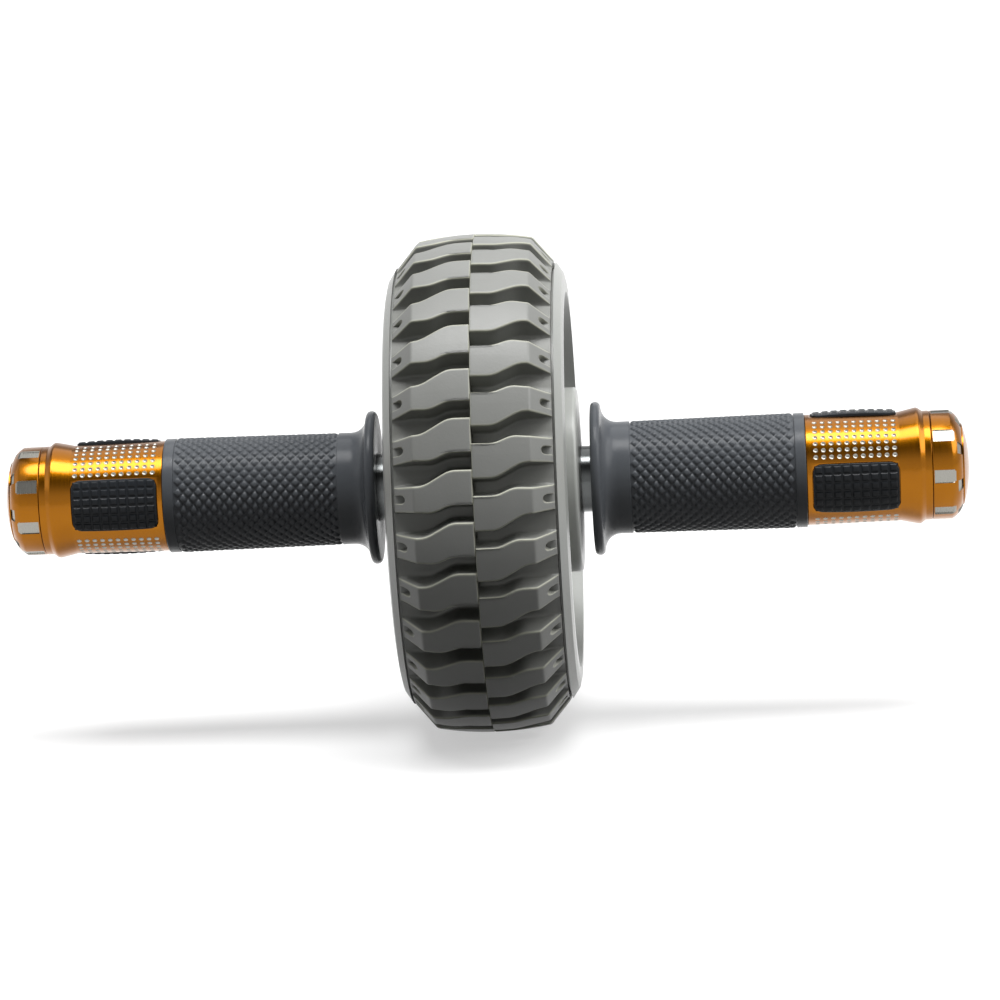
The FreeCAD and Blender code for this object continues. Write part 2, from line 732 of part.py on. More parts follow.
def raise_diamonds(sleeve):
    """Raise the knurl's main diamonds from its sunk stretch, trimmed to the taper of the sleeve.

    Whole diamonds stand on the middles of the columns. Half a row round, others stand on the
    lines between the columns, with a half diamond at each end.
    """
    columns = round(value("dim.knurl_columns"))
    middles = [column + 0.5 for column in range(columns)]
    lines = range(columns + 1)
    for tilt, places in (("0", middles), ("180 / dim.knurl_rows", lines)):
        sketch = tilted_sketch(sleeve, "at.knurl_root", tilt)
        for place in places:
            middle = f"at.knurl_start + {place} * at.knurl_pitch"
            sides = [(middle, "-at.diamond_half"), (middle, "at.diamond_half")]
            tip = [(f"{middle} + at.diamond_reach", "0")] if place < columns else []
            tail = [(f"{middle} - at.diamond_reach", "0")] if place > 0 else []
            draw_outline(sketch, [sides[0], *tip, sides[1], *tail])
        height = f"dim.sleeve_outer_radius + {MARGIN} - at.knurl_root"
        diamonds = extrude(sleeve, "Pad", sketch, height)
        repeat_round(sleeve, [diamonds], "dim.knurl_rows")
    clear_radius = f"dim.sleeve_outer_radius + at.diamond_half + {MARGIN}"
    envelope = draw_outline(new_sketch(sleeve, "XZ_Plane"), [
        ("at.knurl_start", "at.knurl_start_radius"),
        ("at.knurl_end", "dim.sleeve_outer_radius"),
        ("at.knurl_end", clear_radius),
        ("at.knurl_start", clear_radius),
    ])
    turn_round(sleeve, "Groove", envelope)


def make_end_body(side):
    """Gold sleeve end, screwed to the axle, with a shallow recess for each pad."""
    body = new_body(f"end_body_{side}")
    screw_hole = "dim.screw_radius + dim.screw_play"
    turned(body, [
        ("at.grip_end", "at.running_bore"),
        ("at.grip_end", "dim.body_radius"),
        ("at.neck", "dim.neck_radius"),
        ("at.crest", "dim.crest_radius"),
        ("at.waist", "dim.waist_radius"),
        ("at.body_end", "dim.waist_radius"),
        ("at.body_end", "at.cavity_radius"),
        ("at.web_end", "at.cavity_radius"),
        ("at.web_end", screw_hole),
        ("at.axle_end", screw_hole),
        ("at.axle_end", "at.running_bore"),
    ])
    round_edges(body, circle_at(("at.crest", "dim.crest_radius")), "dim.crest_round")
    recess_begin = "at.pad_begin - dim.pad_slack"
    recess_end = "at.pad_end + dim.pad_slack"
    clear_radius = f"dim.crest_radius + {MARGIN}"
    recess = draw_outline(new_sketch(body, "XZ_Plane"), [
        (recess_begin, "at.pad_floor"),
        (recess_end, "at.pad_floor"),
        (recess_end, clear_radius),
        (recess_begin, clear_radius),
    ])
    slack_angle = "2 * asin(dim.pad_slack / at.pad_floor) / 1 deg"
    cut = turn_round(body, "Groove", recess, f"dim.pad_span + {slack_angle}")
    repeat_round(body, [cut], "dim.pad_count")
    round_edges(body, upright_at(recess_begin, recess_end), "dim.pad_corner")
    seat(body, side, turn_to(side, f"dim.pad_angle_{side}"))


def make_pads(side):
    """Rubber pads that fill the recesses and stand a little proud of the gold."""
    body = new_body(f"grip_pads_{side}")
    edge_radius = "dim.body_radius + dim.pad_edge_rise"
    rise = "(dim.pad_crown_rise - dim.pad_edge_rise)"
    crown = f"({rise} / 2 + dim.pad_length ^ 2 / (8 * {rise}))"
    pad = turned(body, [
        ("at.pad_begin", "at.pad_floor + dim.fit"),
        ("at.pad_begin", edge_radius, crown),
        ("at.pad_end", edge_radius),
        ("at.pad_end", "at.pad_floor + dim.fit"),
    ], "dim.pad_span")
    repeat_round(body, [pad], "dim.pad_count")
    round_edges(body, upright_at("at.pad_begin", "at.pad_end"), "dim.pad_corner")
    seat(body, side, turn_to(side, f"dim.pad_angle_{side}"))


def make_end_cap(side):
    """Gold cap whose spigot plugs the end body, with milled notches round its edge."""
    body = new_body(f"end_cap_{side}")
    land_end = "at.body_end + dim.cap_land"
    turned(body, [
        ("at.body_end - dim.spigot_length", "at.spigot_bore"),
        ("at.body_end - dim.spigot_length", "at.spigot_radius"),
        ("at.body_end", "at.spigot_radius"),
        ("at.body_end", "dim.cap_radius"),
        (land_end, "dim.cap_radius", "dim.cap_nose_round"),
        ("at.cap_end", "dim.cap_mouth_radius"),
        ("at.cap_end", "at.spigot_bore"),
    ])
    floor = "dim.cap_radius - dim.notch_depth"
    notch_start = "at.body_end + dim.notch_start"
    mouth = f"at.cap_end + {MARGIN}"
    notch = draw_outline(new_sketch(body, "XY_Plane", floor), [
        (notch_start, "-dim.notch_width / 2"),
        (mouth, "-dim.notch_width / 2"),
        (mouth, "dim.notch_width / 2"),
        (notch_start, "dim.notch_width / 2"),
    ])
    cut = extrude(body, "Pocket", notch, f"dim.notch_depth + {MARGIN}")
    repeat_round(body, [cut], "dim.notch_count")
    seat(body, side, turn_to(side, f"dim.notch_angle_{side}"))


def make_end_button(side):
    """Domed plug in the mouth of the end cap."""
    body = new_body(f"end_button_{side}")
    stem_start = "at.cap_end - dim.button_length"
    turned(body, [
        (stem_start, "0"),
        (stem_start, "at.stem_radius"),
        ("at.cap_end", "at.stem_radius"),
        ("at.cap_end", "at.dome_radius"),
        ("at.cap_end + dim.button_step", "at.dome_radius", "dim.button_round"),
        ("at.cap_end + dim.button_rise", "0"),
    ])
    seat(body, side)


def make_handle_screw(side):
    """Plug in the end of the axle, and the screw and washer that hold the end body to it."""
    plug = new_body(f"axle_plug_{side}")
    plug_start = "at.axle_end - dim.plug_length"
    ring(plug, plug_start, "at.axle_end", "dim.screw_radius + dim.fit", "at.axle_bore - dim.fit")

    washer = new_body(f"handle_washer_{side}")
    ring(washer, "at.web_end", "at.washer_end", "dim.screw_radius + dim.screw_play", "dim.washer_radius")

    screw = new_body(f"handle_screw_{side}")
    turned(screw, [
        ("at.axle_end - dim.screw_reach", "0"),
        ("at.axle_end - dim.screw_reach", "dim.screw_radius"),
        ("at.washer_end", "dim.screw_radius"),
        ("at.washer_end", "dim.head_radius"),
        ("at.head_end", "dim.head_radius"),
        ("at.head_end", "0"),
    ])
    socket = new_sketch(screw, "YZ_Plane", "at.head_end - dim.socket_depth")
    draw_hexagon(socket, "dim.socket_radius")
    extrude(screw, "Pocket", socket, f"dim.socket_depth + {MARGIN}")

    for body in (plug, washer, screw):
        seat(body, side)


def check_document():
    """Stop if any object failed or any piece is not a valid solid."""
    for item in DOC.Objects:
        if {"Invalid", "Error"} & set(item.State):
            raise RuntimeError(f"{item.Label} ({item.TypeId}) failed: {item.getStatusString()}")
    for body in DOC.findObjects("PartDesign::Body"):
        if body.Shape.isNull() or not body.Shape.isValid() or not body.Shape.Solids:
            raise RuntimeError(f"{body.Label} has no valid solid")


def main():
    """Build every piece and write one file for each."""
    make_axle()
    make_spacer()
    make_rim_screws()
    for side in SIDES:
        make_tyre_half(side)
        make_rim_half(side)
        make_hub_cap(side)
        make_bearing(side)
        make_retaining_ring(side)
        make_grip(side)
        make_end_body(side)
        make_pads(side)
        make_end_cap(side)
        make_end_button(side)
        make_handle_screw(side)
    DOC.recompute()
    check_document()
    os.makedirs("parts", exist_ok=True)
    for body in DOC.findObjects("PartDesign::Body"):
        body.Shape.exportStep(f"parts/{body.Label}.step")
        print(f"{body.Label}: {len(body.Shape.Solids)} solids, {body.Shape.Volume / 1000:.2f} cm3")


main()
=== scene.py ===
"""Looks of an ab wheel roller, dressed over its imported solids.

Sizes are in millimetres and angles in degrees. X runs along the axle, Z is up and the origin is
the centre of the wheel. Pieces are drawn for the right-hand side, with angles measured upwards
from the front, and a left-hand twin is the same piece turned half round about Z.
"""
import logging
import math
from dataclasses import dataclass, fields, replace
from enum import Enum
from typing import Any, Callable, ClassVar, Mapping, Sequence

import bmesh
import bpy
from bpy.types import Material, Mesh, Node, NodeSocket, NodeTree
from mathutils import Matrix, Vector


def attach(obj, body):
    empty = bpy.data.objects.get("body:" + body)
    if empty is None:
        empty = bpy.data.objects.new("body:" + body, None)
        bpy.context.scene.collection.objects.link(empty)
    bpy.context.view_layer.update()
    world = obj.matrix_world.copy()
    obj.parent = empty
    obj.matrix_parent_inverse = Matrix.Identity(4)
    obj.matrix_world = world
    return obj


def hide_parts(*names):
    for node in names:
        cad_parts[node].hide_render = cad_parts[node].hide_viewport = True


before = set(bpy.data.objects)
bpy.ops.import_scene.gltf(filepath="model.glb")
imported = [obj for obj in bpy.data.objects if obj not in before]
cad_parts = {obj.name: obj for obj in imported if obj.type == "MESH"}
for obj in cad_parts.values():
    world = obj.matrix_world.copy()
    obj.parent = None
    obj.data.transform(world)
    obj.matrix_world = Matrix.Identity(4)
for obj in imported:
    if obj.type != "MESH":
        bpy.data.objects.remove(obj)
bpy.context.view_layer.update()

LOG = logging.getLogger("ab_wheel_roller")
MM = 0.001
IMAGE_SIZE = 1000
# Points nearer than this are one, within a tile and where copies of it meet
WELD = 0.0005 * MM
JOIN = 0.002 * MM

Point = tuple[float, float, float]
Corner = tuple[float, float, float]
Profile = list[tuple[float, float]]
Line = tuple[tuple[float, float], ...]
Rules = tuple[tuple[str | float, ...], ...]


class Side(Enum):
    """The two ends of the axle."""

    LEFT = "left"
    RIGHT = "right"

    @property
    def turn(self) -> Matrix:
        """Turn that brings a right-hand piece to this side."""
        return Matrix.Rotation(math.pi if self is Side.LEFT else 0.0, 4, "Z")

    def drawn(self, angle: float) -> float:
        """Angle in the right-hand drawing that ends up at an angle above the front."""
        return 180.0 - angle if self is Side.LEFT else angle


class Body(Enum):
    """The moving bodies that pieces ride on."""

    AXLE = "axle_and_handles"
    WHEEL = "wheel"


class Slot(Enum):
    """Material slots of the record, kept on the finishes."""

    TREAD = "tread_rubber"
    GRIP = "grip_rubber"
    PAD = "pad_rubber"
    GOLD = "gold_aluminium"


def linear(colour: str) -> tuple[float, float, float, float]:
    """Turns an sRGB colour into linear light.

    Args:
        colour: Six hex digits after a hash sign.

    Returns:
        Red, green, blue and an alpha of 1.
    """
    parts = [int(colour[k:k + 2], 16) / 255 for k in (1, 3, 5)]
    light = [c / 12.92 if c <= 0.04045 else ((c + 0.055) / 1.055) ** 2.4 for c in parts]
    return (*light, 1.0)


def add_node(
    tree: NodeTree,
    kind: str,
    settings: Mapping[str, Any] | None = None,
    inputs: Mapping[str | int, Any] | Sequence[Any] = (),
) -> Node:
    """Adds a node with its settings, and sets or links its inputs.

    Args:
        tree: Node tree that gets the node.
        kind: Blender's name of the node's type.
        settings: Values of the node's own properties.
        inputs: Values or output sockets by socket name or number, or in socket order.

    Returns:
        The new node.
    """
    node = tree.nodes.new(kind)
    for key, setting in (settings or {}).items():
        setattr(node, key, setting)
    pairs = inputs.items() if isinstance(inputs, Mapping) else enumerate(inputs)
    for key, source in pairs:
        if isinstance(source, NodeSocket):
            tree.links.new(source, node.inputs[key])
        else:
            node.inputs[key].default_value = source
    return node


@dataclass(frozen=True)
class Finish:
    """What a surface is made of: a clouded colour under a fine grain that scatters its gloss.

    The grain is a size in millimetres along the axle, and grain_across scales it across the axle.
    The slot names one of the record's material slots; nothing here reads it.
    """

    name: str
    colour: str
    shade: str
    roughness: float
    cloud: float = 10.0
    cloud_detail: float = 3.0
    grain: float = 0.5
    grain_across: float = 1.0
    grain_depth: float = 0.01
    gloss_swing: float = 0.05
    bump: float = 0.5
    slot: Slot | None = None

    GRAIN_DETAIL: ClassVar[float] = 2.0

    def material(self) -> Material:
        """Builds the material, or finds it if it is already there.

        Returns:
            The material.
        """
        found = bpy.data.materials.get(self.name)
        if found:
            return found
        made = bpy.data.materials.new(self.name)
        made.use_nodes = True
        tree = made.node_tree
        place = add_node(tree, "ShaderNodeTexCoord").outputs["Object"]
        cloud = add_node(tree, "ShaderNodeTexNoise", None, {
            "Vector": place, "Scale": 1 / (self.cloud * MM),
            "Detail": self.cloud_detail}).outputs[0]
        # Real grain and feed marks are near 0.1 mm, drawn coarser so that they show in the render
        drawn = add_node(tree, "ShaderNodeVectorMath", {"operation": "MULTIPLY"}, [
            place, (1.0, self.grain_across, self.grain_across)]).outputs[0]
        grain = add_node(tree, "ShaderNodeTexNoise", None, {
            "Vector": drawn, "Scale": 1 / (self.grain * MM),
            "Detail": self.GRAIN_DETAIL}).outputs[0]
        colour = add_node(tree, "ShaderNodeMix", {"data_type": "RGBA"}, {
            0: cloud, 6: linear(self.shade), 7: linear(self.colour)}).outputs[2]
        gloss = add_node(tree, "ShaderNodeMapRange", None, {
            0: grain, 3: self.roughness - self.gloss_swing,
            4: self.roughness + self.gloss_swing}).outputs[0]
        bump = add_node(tree, "ShaderNodeBump", None, {
            "Height": grain, "Distance": self.grain_depth * MM, "Strength": self.bump}).outputs[0]
        shader = tree.nodes["Principled BSDF"].inputs
        tree.links.new(self.tinted(tree, colour), shader["Base Color"])
        tree.links.new(gloss, shader["Roughness"])
        tree.links.new(bump, shader["Normal"])
        for socket, level in self.levels().items():
            shader[socket].default_value = level
        return made

    def tinted(self, tree: NodeTree, colour: NodeSocket) -> NodeSocket:
        """Colour after any tint that the mesh marks: none on a plain surface."""
        return colour

    def levels(self) -> dict[str, float]:
        """Levels that are equal all over the surface, by the shader's sockets."""
        raise NotImplementedError


@dataclass(frozen=True)
class MouldedRubber(Finish):
    """Rubber or plastic from a blasted mould: an even skin with a fine grain."""

    cloud: float = 14.0
    cloud_detail: float = 4.0
    grain_depth: float = 0.02
    gloss_swing: float = 0.08
    bump: float = 0.6
    specular: float = 0.5

    def levels(self) -> dict[str, float]:
        """Gives the skin its gloss."""
        return {"Specular IOR Level": self.specular}


@dataclass(frozen=True)
class TreadRubber(MouldedRubber):
    """Tyre rubber with painted highlights on its lug edges and painted shade in its grooves."""

    # Colours of the painted highlight on the lug edges and of the painted shade in the grooves
    edge: str = "#ffffff"
    groove_shade: str = "#000000"

    def tinted(self, tree: NodeTree, colour: NodeSocket) -> NodeSocket:
        """Paints shade into the grooves and then highlights on the edges, where the mesh marks
        them.

        Args:
            tree: The material's node tree.
            colour: Colour of the bare rubber.

        Returns:
            The colour under its painted shade and highlights.
        """
        # Painted shade in the grooves, then painted highlights on the lug edges
        for mark, tint in (("groove_shade", self.groove_shade), ("edge", self.edge)):
            share = add_node(tree, "ShaderNodeAttribute", {"attribute_name": mark}).outputs["Fac"]
            colour = add_node(tree, "ShaderNodeMix", {"data_type": "RGBA"}, {
                0: share, 6: colour, 7: linear(tint)}).outputs[2]
        return colour


@dataclass(frozen=True)
class TurnedMetal(Finish):
    """Metal off the lathe: clean and bright, with fine rings round the axle."""

    cloud: float = 9.0
    grain: float = 0.4
    grain_across: float = 0.03
    grain_depth: float = 0.002
    coat: float = 0.0
    coat_roughness: float = 0.1

    def levels(self) -> dict[str, float]:
        """Makes it metal, under a clear skin where it has one."""
        return {"Metallic": 1.0, "Coat Weight": self.coat, "Coat Roughness": self.coat_roughness}


# Dull greenish grey, with painted highlights that pick out every lug's edges and painted shade in
# the grooves
TREAD = TreadRubber(
    "grey tyre rubber, moulded", "#888986", "#7e7f7c", 0.36, specular=0.32,
    edge="#b6b7a6", groove_shade="#7c7d79", grain=0.8, grain_depth=0.05, slot=Slot.TREAD)
# Paler, smoother and more neutral than the rubber beside it
RIM = MouldedRubber("grey ABS, moulded", "#a9aba7", "#a0a29e", 0.3, grain=0.3, grain_depth=0.006)
# Bluish charcoal, with a low soft gloss that catches the points of the knurl
GRIP = MouldedRubber(
    "black grip rubber, moulded", "#55585c", "#4a4d51", 0.24, specular=0.12, slot=Slot.GRIP)
# Nearly black, so that the pads stand out from the gold and from the grip
PAD = MouldedRubber(
    "black inlay rubber, moulded", "#292c30", "#222528", 0.24, specular=0.12, slot=Slot.PAD)
# Plain dull black in the shade of the flange
CORE = MouldedRubber("black nylon, moulded", "#26282a", "#1e2022", 0.5, grain=0.3)
# Deep orange gold under a thin clear skin, with soft streaks along the axle
GOLD = TurnedMetal(
    "gold anodised aluminium, turned", "#935b03", "#895202", 0.24, coat=0.22, slot=Slot.GOLD)
# Pale spots and notches where the cutter went through the gold
BARE = TurnedMetal(
    "bare aluminium, milled", "#98968f", "#8b8983", 0.28, grain=0.25, slot=Slot.GOLD)
# Dark mirror with one bright streak and a trace of grinding
CHROME = TurnedMetal("plated steel, ground", "#5e6060", "#565858", 0.2)
# Clear bright mirror
BEARING = TurnedMetal("bearing steel, polished", "#b4b6b8", "#a8aaac", 0.16)
# Greyer and duller, as small hardware is
STEEL = TurnedMetal("zinc plated steel", "#9c9ea0", "#8b8d8f", 0.34, grain=0.6)


class Shell:
    """Points and faces of a mesh in the making, in millimetres, with named marks on the points."""

    def __init__(self) -> None:
        """Starts with nothing in it."""
        self.points: list[Point] = []
        self.faces: list[tuple[int, ...]] = []
        self.marks: dict[str, list[float]] = {}

    def grid(
        self,
        rows: Sequence[Sequence[Point]],
        closed: bool = False,
        keep: Callable[[int, int], bool] = lambda row, column: True,
        marks: Mapping[str, Sequence[Sequence[float]]] | None = None,
    ) -> "Shell":
        """Adds a sheet of four-sided faces through rows of points.

        Args:
            rows: Points, each row as long as the first.
            closed: Whether the last row joins the first.
            keep: Test for the faces to keep, by row and column.
            marks: Numbers for the points, by name, in the same rows.

        Returns:
            The shell itself.
        """
        start = len(self.points)
        width = len(rows[0])
        self.points += [point for row in rows for point in row]
        for name, values in (marks or {}).items():
            self.marks.setdefault(name, []).extend(v for row in values for v in row)
        for r in range(len(rows) if closed else len(rows) - 1):
            here = start + r * width
            there = start + (r + 1) % len(rows) * width
            for c in range(width - 1):
                if keep(r, c):
                    self.faces.append((here + c, there + c, there + c + 1, here + c + 1))
        return self

    def mesh(self, name: str) -> Mesh:
        """Makes the mesh, in metres, with doubled points merged and loose ones dropped.

        Args:
            name: Name of the mesh.

        Returns:
            The mesh.
        """
        made = bpy.data.meshes.new(name)
        made.from_pydata([Vector(p) * MM for p in self.points], [], self.faces)
        for mark, values in self.marks.items():
            made.attributes.new(mark, "FLOAT", "POINT").data.foreach_set("value", values)
        work = bmesh.new()
        work.from_mesh(made)
        bmesh.ops.remove_doubles(work, verts=work.verts, dist=WELD)
        bmesh.ops.dissolve_degenerate(work, edges=work.edges, dist=WELD)
        loose = [vert for vert in work.verts if not vert.link_faces]
        bmesh.ops.delete(work, geom=loose, context="VERTS")
        work.to_mesh(made)
        work.free()
        return made


def rounded(corners: Sequence[Corner], steps: int = 6) -> Profile:
    """Draws a line through corners, with an arc at each corner that has a radius.

    Args:
        corners: Station, radius from the axle and rounding radius of each corner.
        steps: Straight pieces in each arc.

    Returns:
        Stations and radii along the line.
    """
    line: Profile = []
    for k, (x, r, bend) in enumerate(corners):
        if not bend:
            line.append((x, r))
            continue
        here = Vector((x, r))
        back = (Vector(corners[k - 1][:2]) - here).normalized()
        ahead = (Vector(corners[(k + 1) % len(corners)][:2]) - here).normalized()
        half = back.angle(ahead) / 2
        centre = here + (back + ahead).normalized() * bend / math.sin(half)
        first = here + back * bend / math.tan(half) - centre
        sweep = first.angle_signed(here + ahead * bend / math.tan(half) - centre)
        line += arc(centre, first, sweep, steps)
    return line


def arc(centre: Vector, spoke: Vector, sweep: float, steps: int) -> Profile:
    """Points along an arc.

    Args:
        centre: Its centre.
        spoke: Way from the centre to the first point.
        sweep: Angle in radians that it turns, clockwise.
        steps: Straight pieces in it.

    Returns:
        Its points, both ends among them.
    """
    points = []
    for step in range(steps + 1):
        turned = spoke.copy()
        turned.rotate(Matrix.Rotation(-sweep * step / steps, 2))
        points.append(tuple(centre + turned))
    return points


def lathe(name: str, profile: Profile, sides: int = 128) -> Mesh:
    """Turns a closed profile about the axle.

    Args:
        name: Name of the mesh.
        profile: Stations and radii, running towards +X on the outside.
        sides: Flats round the axle.

    Returns:
        The turned mesh, closed round the axle.
    """
    angles = [math.tau * k / sides for k in range(sides + 1)]
    rows = [[(x, -r * math.cos(a), r * math.sin(a)) for a in angles] for x, r in profile]
    return Shell().grid(rows, closed=True).mesh(name)


def eased(rule: Callable[[float], float], place: float, reach: float, steps: int = 4) -> float:
    """Average of a rule over a stretch, which rounds its knees."""
    spread = [k / steps for k in range(-steps, steps + 1)]
    return sum(rule(place + reach * k) for k in spread) / len(spread)


def through(points: Line, place: float) -> float:
    """Height at a place of the straight runs through points, level beyond the ends.

    Args:
        points: Places and heights, in order.
        place: Place to look at.

    Returns:
        The height there.
    """
    if place <= points[0][0]:
        return points[0][1]
    for (x0, y0), (x1, y1) in zip(points, points[1:]):
        if place <= x1:
            return y0 + (y1 - y0) * (place - x0) / (x1 - x0)
    return points[-1][1]


@dataclass(frozen=True)
class Lattice:
    """Rows and columns of a flat tile, bent round the axle.

    A tile lies flat: its X is the station, its Y the way round at the radius and its Z the height
    above the radius. Taper and crown change the radius along the axle.
    """

    radius: float
    columns: int = 1
    rows: int = 1
    sectors: int = 1
    column_pitch: float = 0.0
    row_pitch: float = 0.0
    stagger: float = 0.0
    taper: float = 0.0
    crown: float = 0.0
    crown_middle: float = 0.0
    crown_reach: float = 1.0
    phase: float = 0.0

    TREE: ClassVar[str] = "lattice round the axle"
    # The tree works in metres and radians
    UNITS: ClassVar[dict[str, float]] = {
        "radius": MM, "column_pitch": MM, "row_pitch": MM, "crown": MM, "crown_middle": MM,
        "crown_reach": MM, "phase": math.radians(1)}
    # What the tree works out: a name, an operation and its terms, which are inputs of the tree,
    # earlier names or numbers
    RULES: ClassVar[Rules] = (
        # Number each copy by its sector, column and row
        ("in sector", "MULTIPLY", "columns", "rows"),
        ("total", "MULTIPLY", "in sector", "sectors"),
        ("sector share", "DIVIDE", "Index", "in sector"),
        ("sector", "FLOOR", "sector share"),
        ("place", "MODULO", "Index", "in sector"),
        ("column share", "DIVIDE", "place", "rows"),
        ("column", "FLOOR", "column share"),
        ("row", "MODULO", "place", "rows"),
        # Lay the copies out flat, with every other column shifted
        ("odd", "MODULO", "column", 2.0),
        ("shift", "MULTIPLY", "odd", "stagger"),
        ("shifted", "ADD", "row", "shift"),
        ("across", "MULTIPLY", "shifted", "row_pitch"),
        ("along", "MULTIPLY", "column", "column_pitch"),
        ("girth", "MULTIPLY", "radius", math.tau),
        ("sector pitch", "DIVIDE", "girth", "sectors"),
        ("sector start", "MULTIPLY", "sector", "sector pitch"),
        ("around", "ADD", "across", "sector start"),
        # Bend the sheet round the axle, with its taper and crown
        ("tapered", "MULTIPLY", "X", "taper"),
        ("offset", "SUBTRACT", "X", "crown_middle"),
        ("share", "DIVIDE", "offset", "crown_reach"),
        ("squared", "MULTIPLY", "share", "share"),
        ("fall", "SUBTRACT", 1.0, "squared"),
        ("rise", "MULTIPLY", "fall", "crown"),
        ("swell", "ADD", "tapered", "rise"),
        ("surface", "ADD", "radius", "swell"),
        ("reach", "ADD", "Z", "surface"),
        ("forward", "MULTIPLY", "reach", -1.0),
        ("arc", "DIVIDE", "Y", "radius"),
        ("turned", "ADD", "arc", "phase"),
        ("angle", "MULTIPLY", "turned", -1.0),
    )

    def flat(self, x: float, angle: float, radius: float) -> Point:
        """Tile point for a station, an angle in degrees and a radius."""
        return (x, math.radians(angle) * self.radius, radius - self.radius)

    @classmethod
    def tree(cls) -> NodeTree:
        """Builds the node tree that repeats, bends and finishes a tile, once.

        Returns:
            The tree, whose inputs are a tile, a finish and the fields of a lattice.
        """
        found = bpy.data.node_groups.get(cls.TREE)
        if found:
            return found
        tree = bpy.data.node_groups.new(cls.TREE, "GeometryNodeTree")
        kinds = {item.name: "Int" if item.type is int else "Float" for item in fields(cls)}
        for name, kind in {"Tile": "Geometry", **kinds, "Finish": "Material"}.items():
            tree.interface.new_socket(name, in_out="INPUT", socket_type=f"NodeSocket{kind}")
        tree.interface.new_socket("Mesh", in_out="OUTPUT", socket_type="NodeSocketGeometry")

        place = add_node(tree, "GeometryNodeInputPosition").outputs[0]
        known: dict[str | float, NodeSocket] = {
            **dict(add_node(tree, "NodeGroupInput").outputs.items()),
            **dict(add_node(tree, "GeometryNodeInputIndex").outputs.items()),
            **dict(add_node(tree, "ShaderNodeSeparateXYZ", None, [place]).outputs.items()),
        }
        for name, operation, *terms in cls.RULES:
            known[name] = add_node(tree, "ShaderNodeMath", {"operation": operation}, [
                known.get(term, term) for term in terms]).outputs[0]

        spot = add_node(tree, "ShaderNodeCombineXYZ", None, [known["along"], known["around"]])
        spoke = add_node(tree, "ShaderNodeCombineXYZ", None, [known["X"], known["forward"]])
        bent = add_node(tree, "ShaderNodeVectorRotate", {"rotation_type": "X_AXIS"}, {
            "Vector": spoke.outputs[0], "Angle": known["angle"]})
        made = add_node(tree, "GeometryNodeMeshLine", None, {
            "Count": known["total"], "Offset": (0, 0, 0)}).outputs[0]
        for kind, others in (
            ("GeometryNodeSetPosition", {"Position": spot.outputs[0]}),
            ("GeometryNodeInstanceOnPoints", {"Instance": known["Tile"]}),
            ("GeometryNodeRealizeInstances", {}),
            ("GeometryNodeSetPosition", {"Position": bent.outputs[0]}),
            ("GeometryNodeMergeByDistance", {"Distance": JOIN}),
            ("GeometryNodeSetMaterial", {"Material": known["Finish"]}),
        ):
            made = add_node(tree, kind, None, {0: made, **others}).outputs[0]
        add_node(tree, "NodeGroupOutput", None, [made])
        return tree

    def repeat(self, shell: Shell, finish: Finish) -> Mesh:
        """Repeats a tile round the axle.

        Args:
            shell: The flat tile.
            finish: Finish of the result.

        Returns:
            A plain mesh, with the copies joined where they touch.
        """
        given: dict[str, Any] = {
            item.name: getattr(self, item.name) * self.UNITS.get(item.name, 1)
            for item in fields(self)}
        given["Finish"] = finish.material()
        tile = shell.mesh("tile")
        holder = bpy.data.objects.new("tile", tile)
        bpy.context.scene.collection.objects.link(holder)
        modifier = holder.modifiers.new("lattice", "NODES")
        modifier.node_group = self.tree()
        for item in modifier.node_group.interface.items_tree:
            if item.in_out == "INPUT" and item.name in given:
                modifier[item.identifier] = given[item.name]
        bpy.context.view_layer.update()
        seen = holder.evaluated_get(bpy.context.evaluated_depsgraph_get())
        result = bpy.data.meshes.new_from_object(seen)
        bpy.data.objects.remove(holder)
        bpy.data.meshes.remove(tile)
        return result


@dataclass
class Fitting:
    """Sub-assembly that is drawn for the right-hand side and turned to its own."""

    side: Side

    BODY: ClassVar[Body] = Body.AXLE

    def add(
        self,
        node: str,
        part: str,
        mesh: Mesh,
        finish: Finish,
        replaces: bool = False,
        crease: float = 50.0,
    ) -> None:
        """Puts a finished mesh in the scene and ties it to its body.

        Args:
            node: Start of its name, which is the node's where it stands for one.
            part: End of its name, or nothing.
            mesh: Finished mesh, drawn for the right-hand side.
            finish: Finish of the whole piece.
            replaces: Whether it stands for the node.
            crease: Angle in degrees from which an edge stays sharp.
        """
        node = f"{node}_{self.side.value}"
        name = f"{node}_{part}" if part else node
        mesh.name = name
        mesh.transform(self.side.turn)
        mesh.materials.clear()
        mesh.materials.append(finish.material())
        mesh.shade_smooth()
        mesh.set_sharp_from_angle(angle=math.radians(crease))
        piece = bpy.data.objects.new(name, mesh)
        bpy.context.scene.collection.objects.link(piece)
        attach(piece, self.BODY.value)
        if replaces:
            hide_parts(node)
        LOG.info("%s: %d faces on %s", name, len(mesh.polygons), self.BODY.value)


# Way round, radius, painted edge highlight and painted groove shade of a point of the tread
TreadPoint = tuple[float, float, float, float]


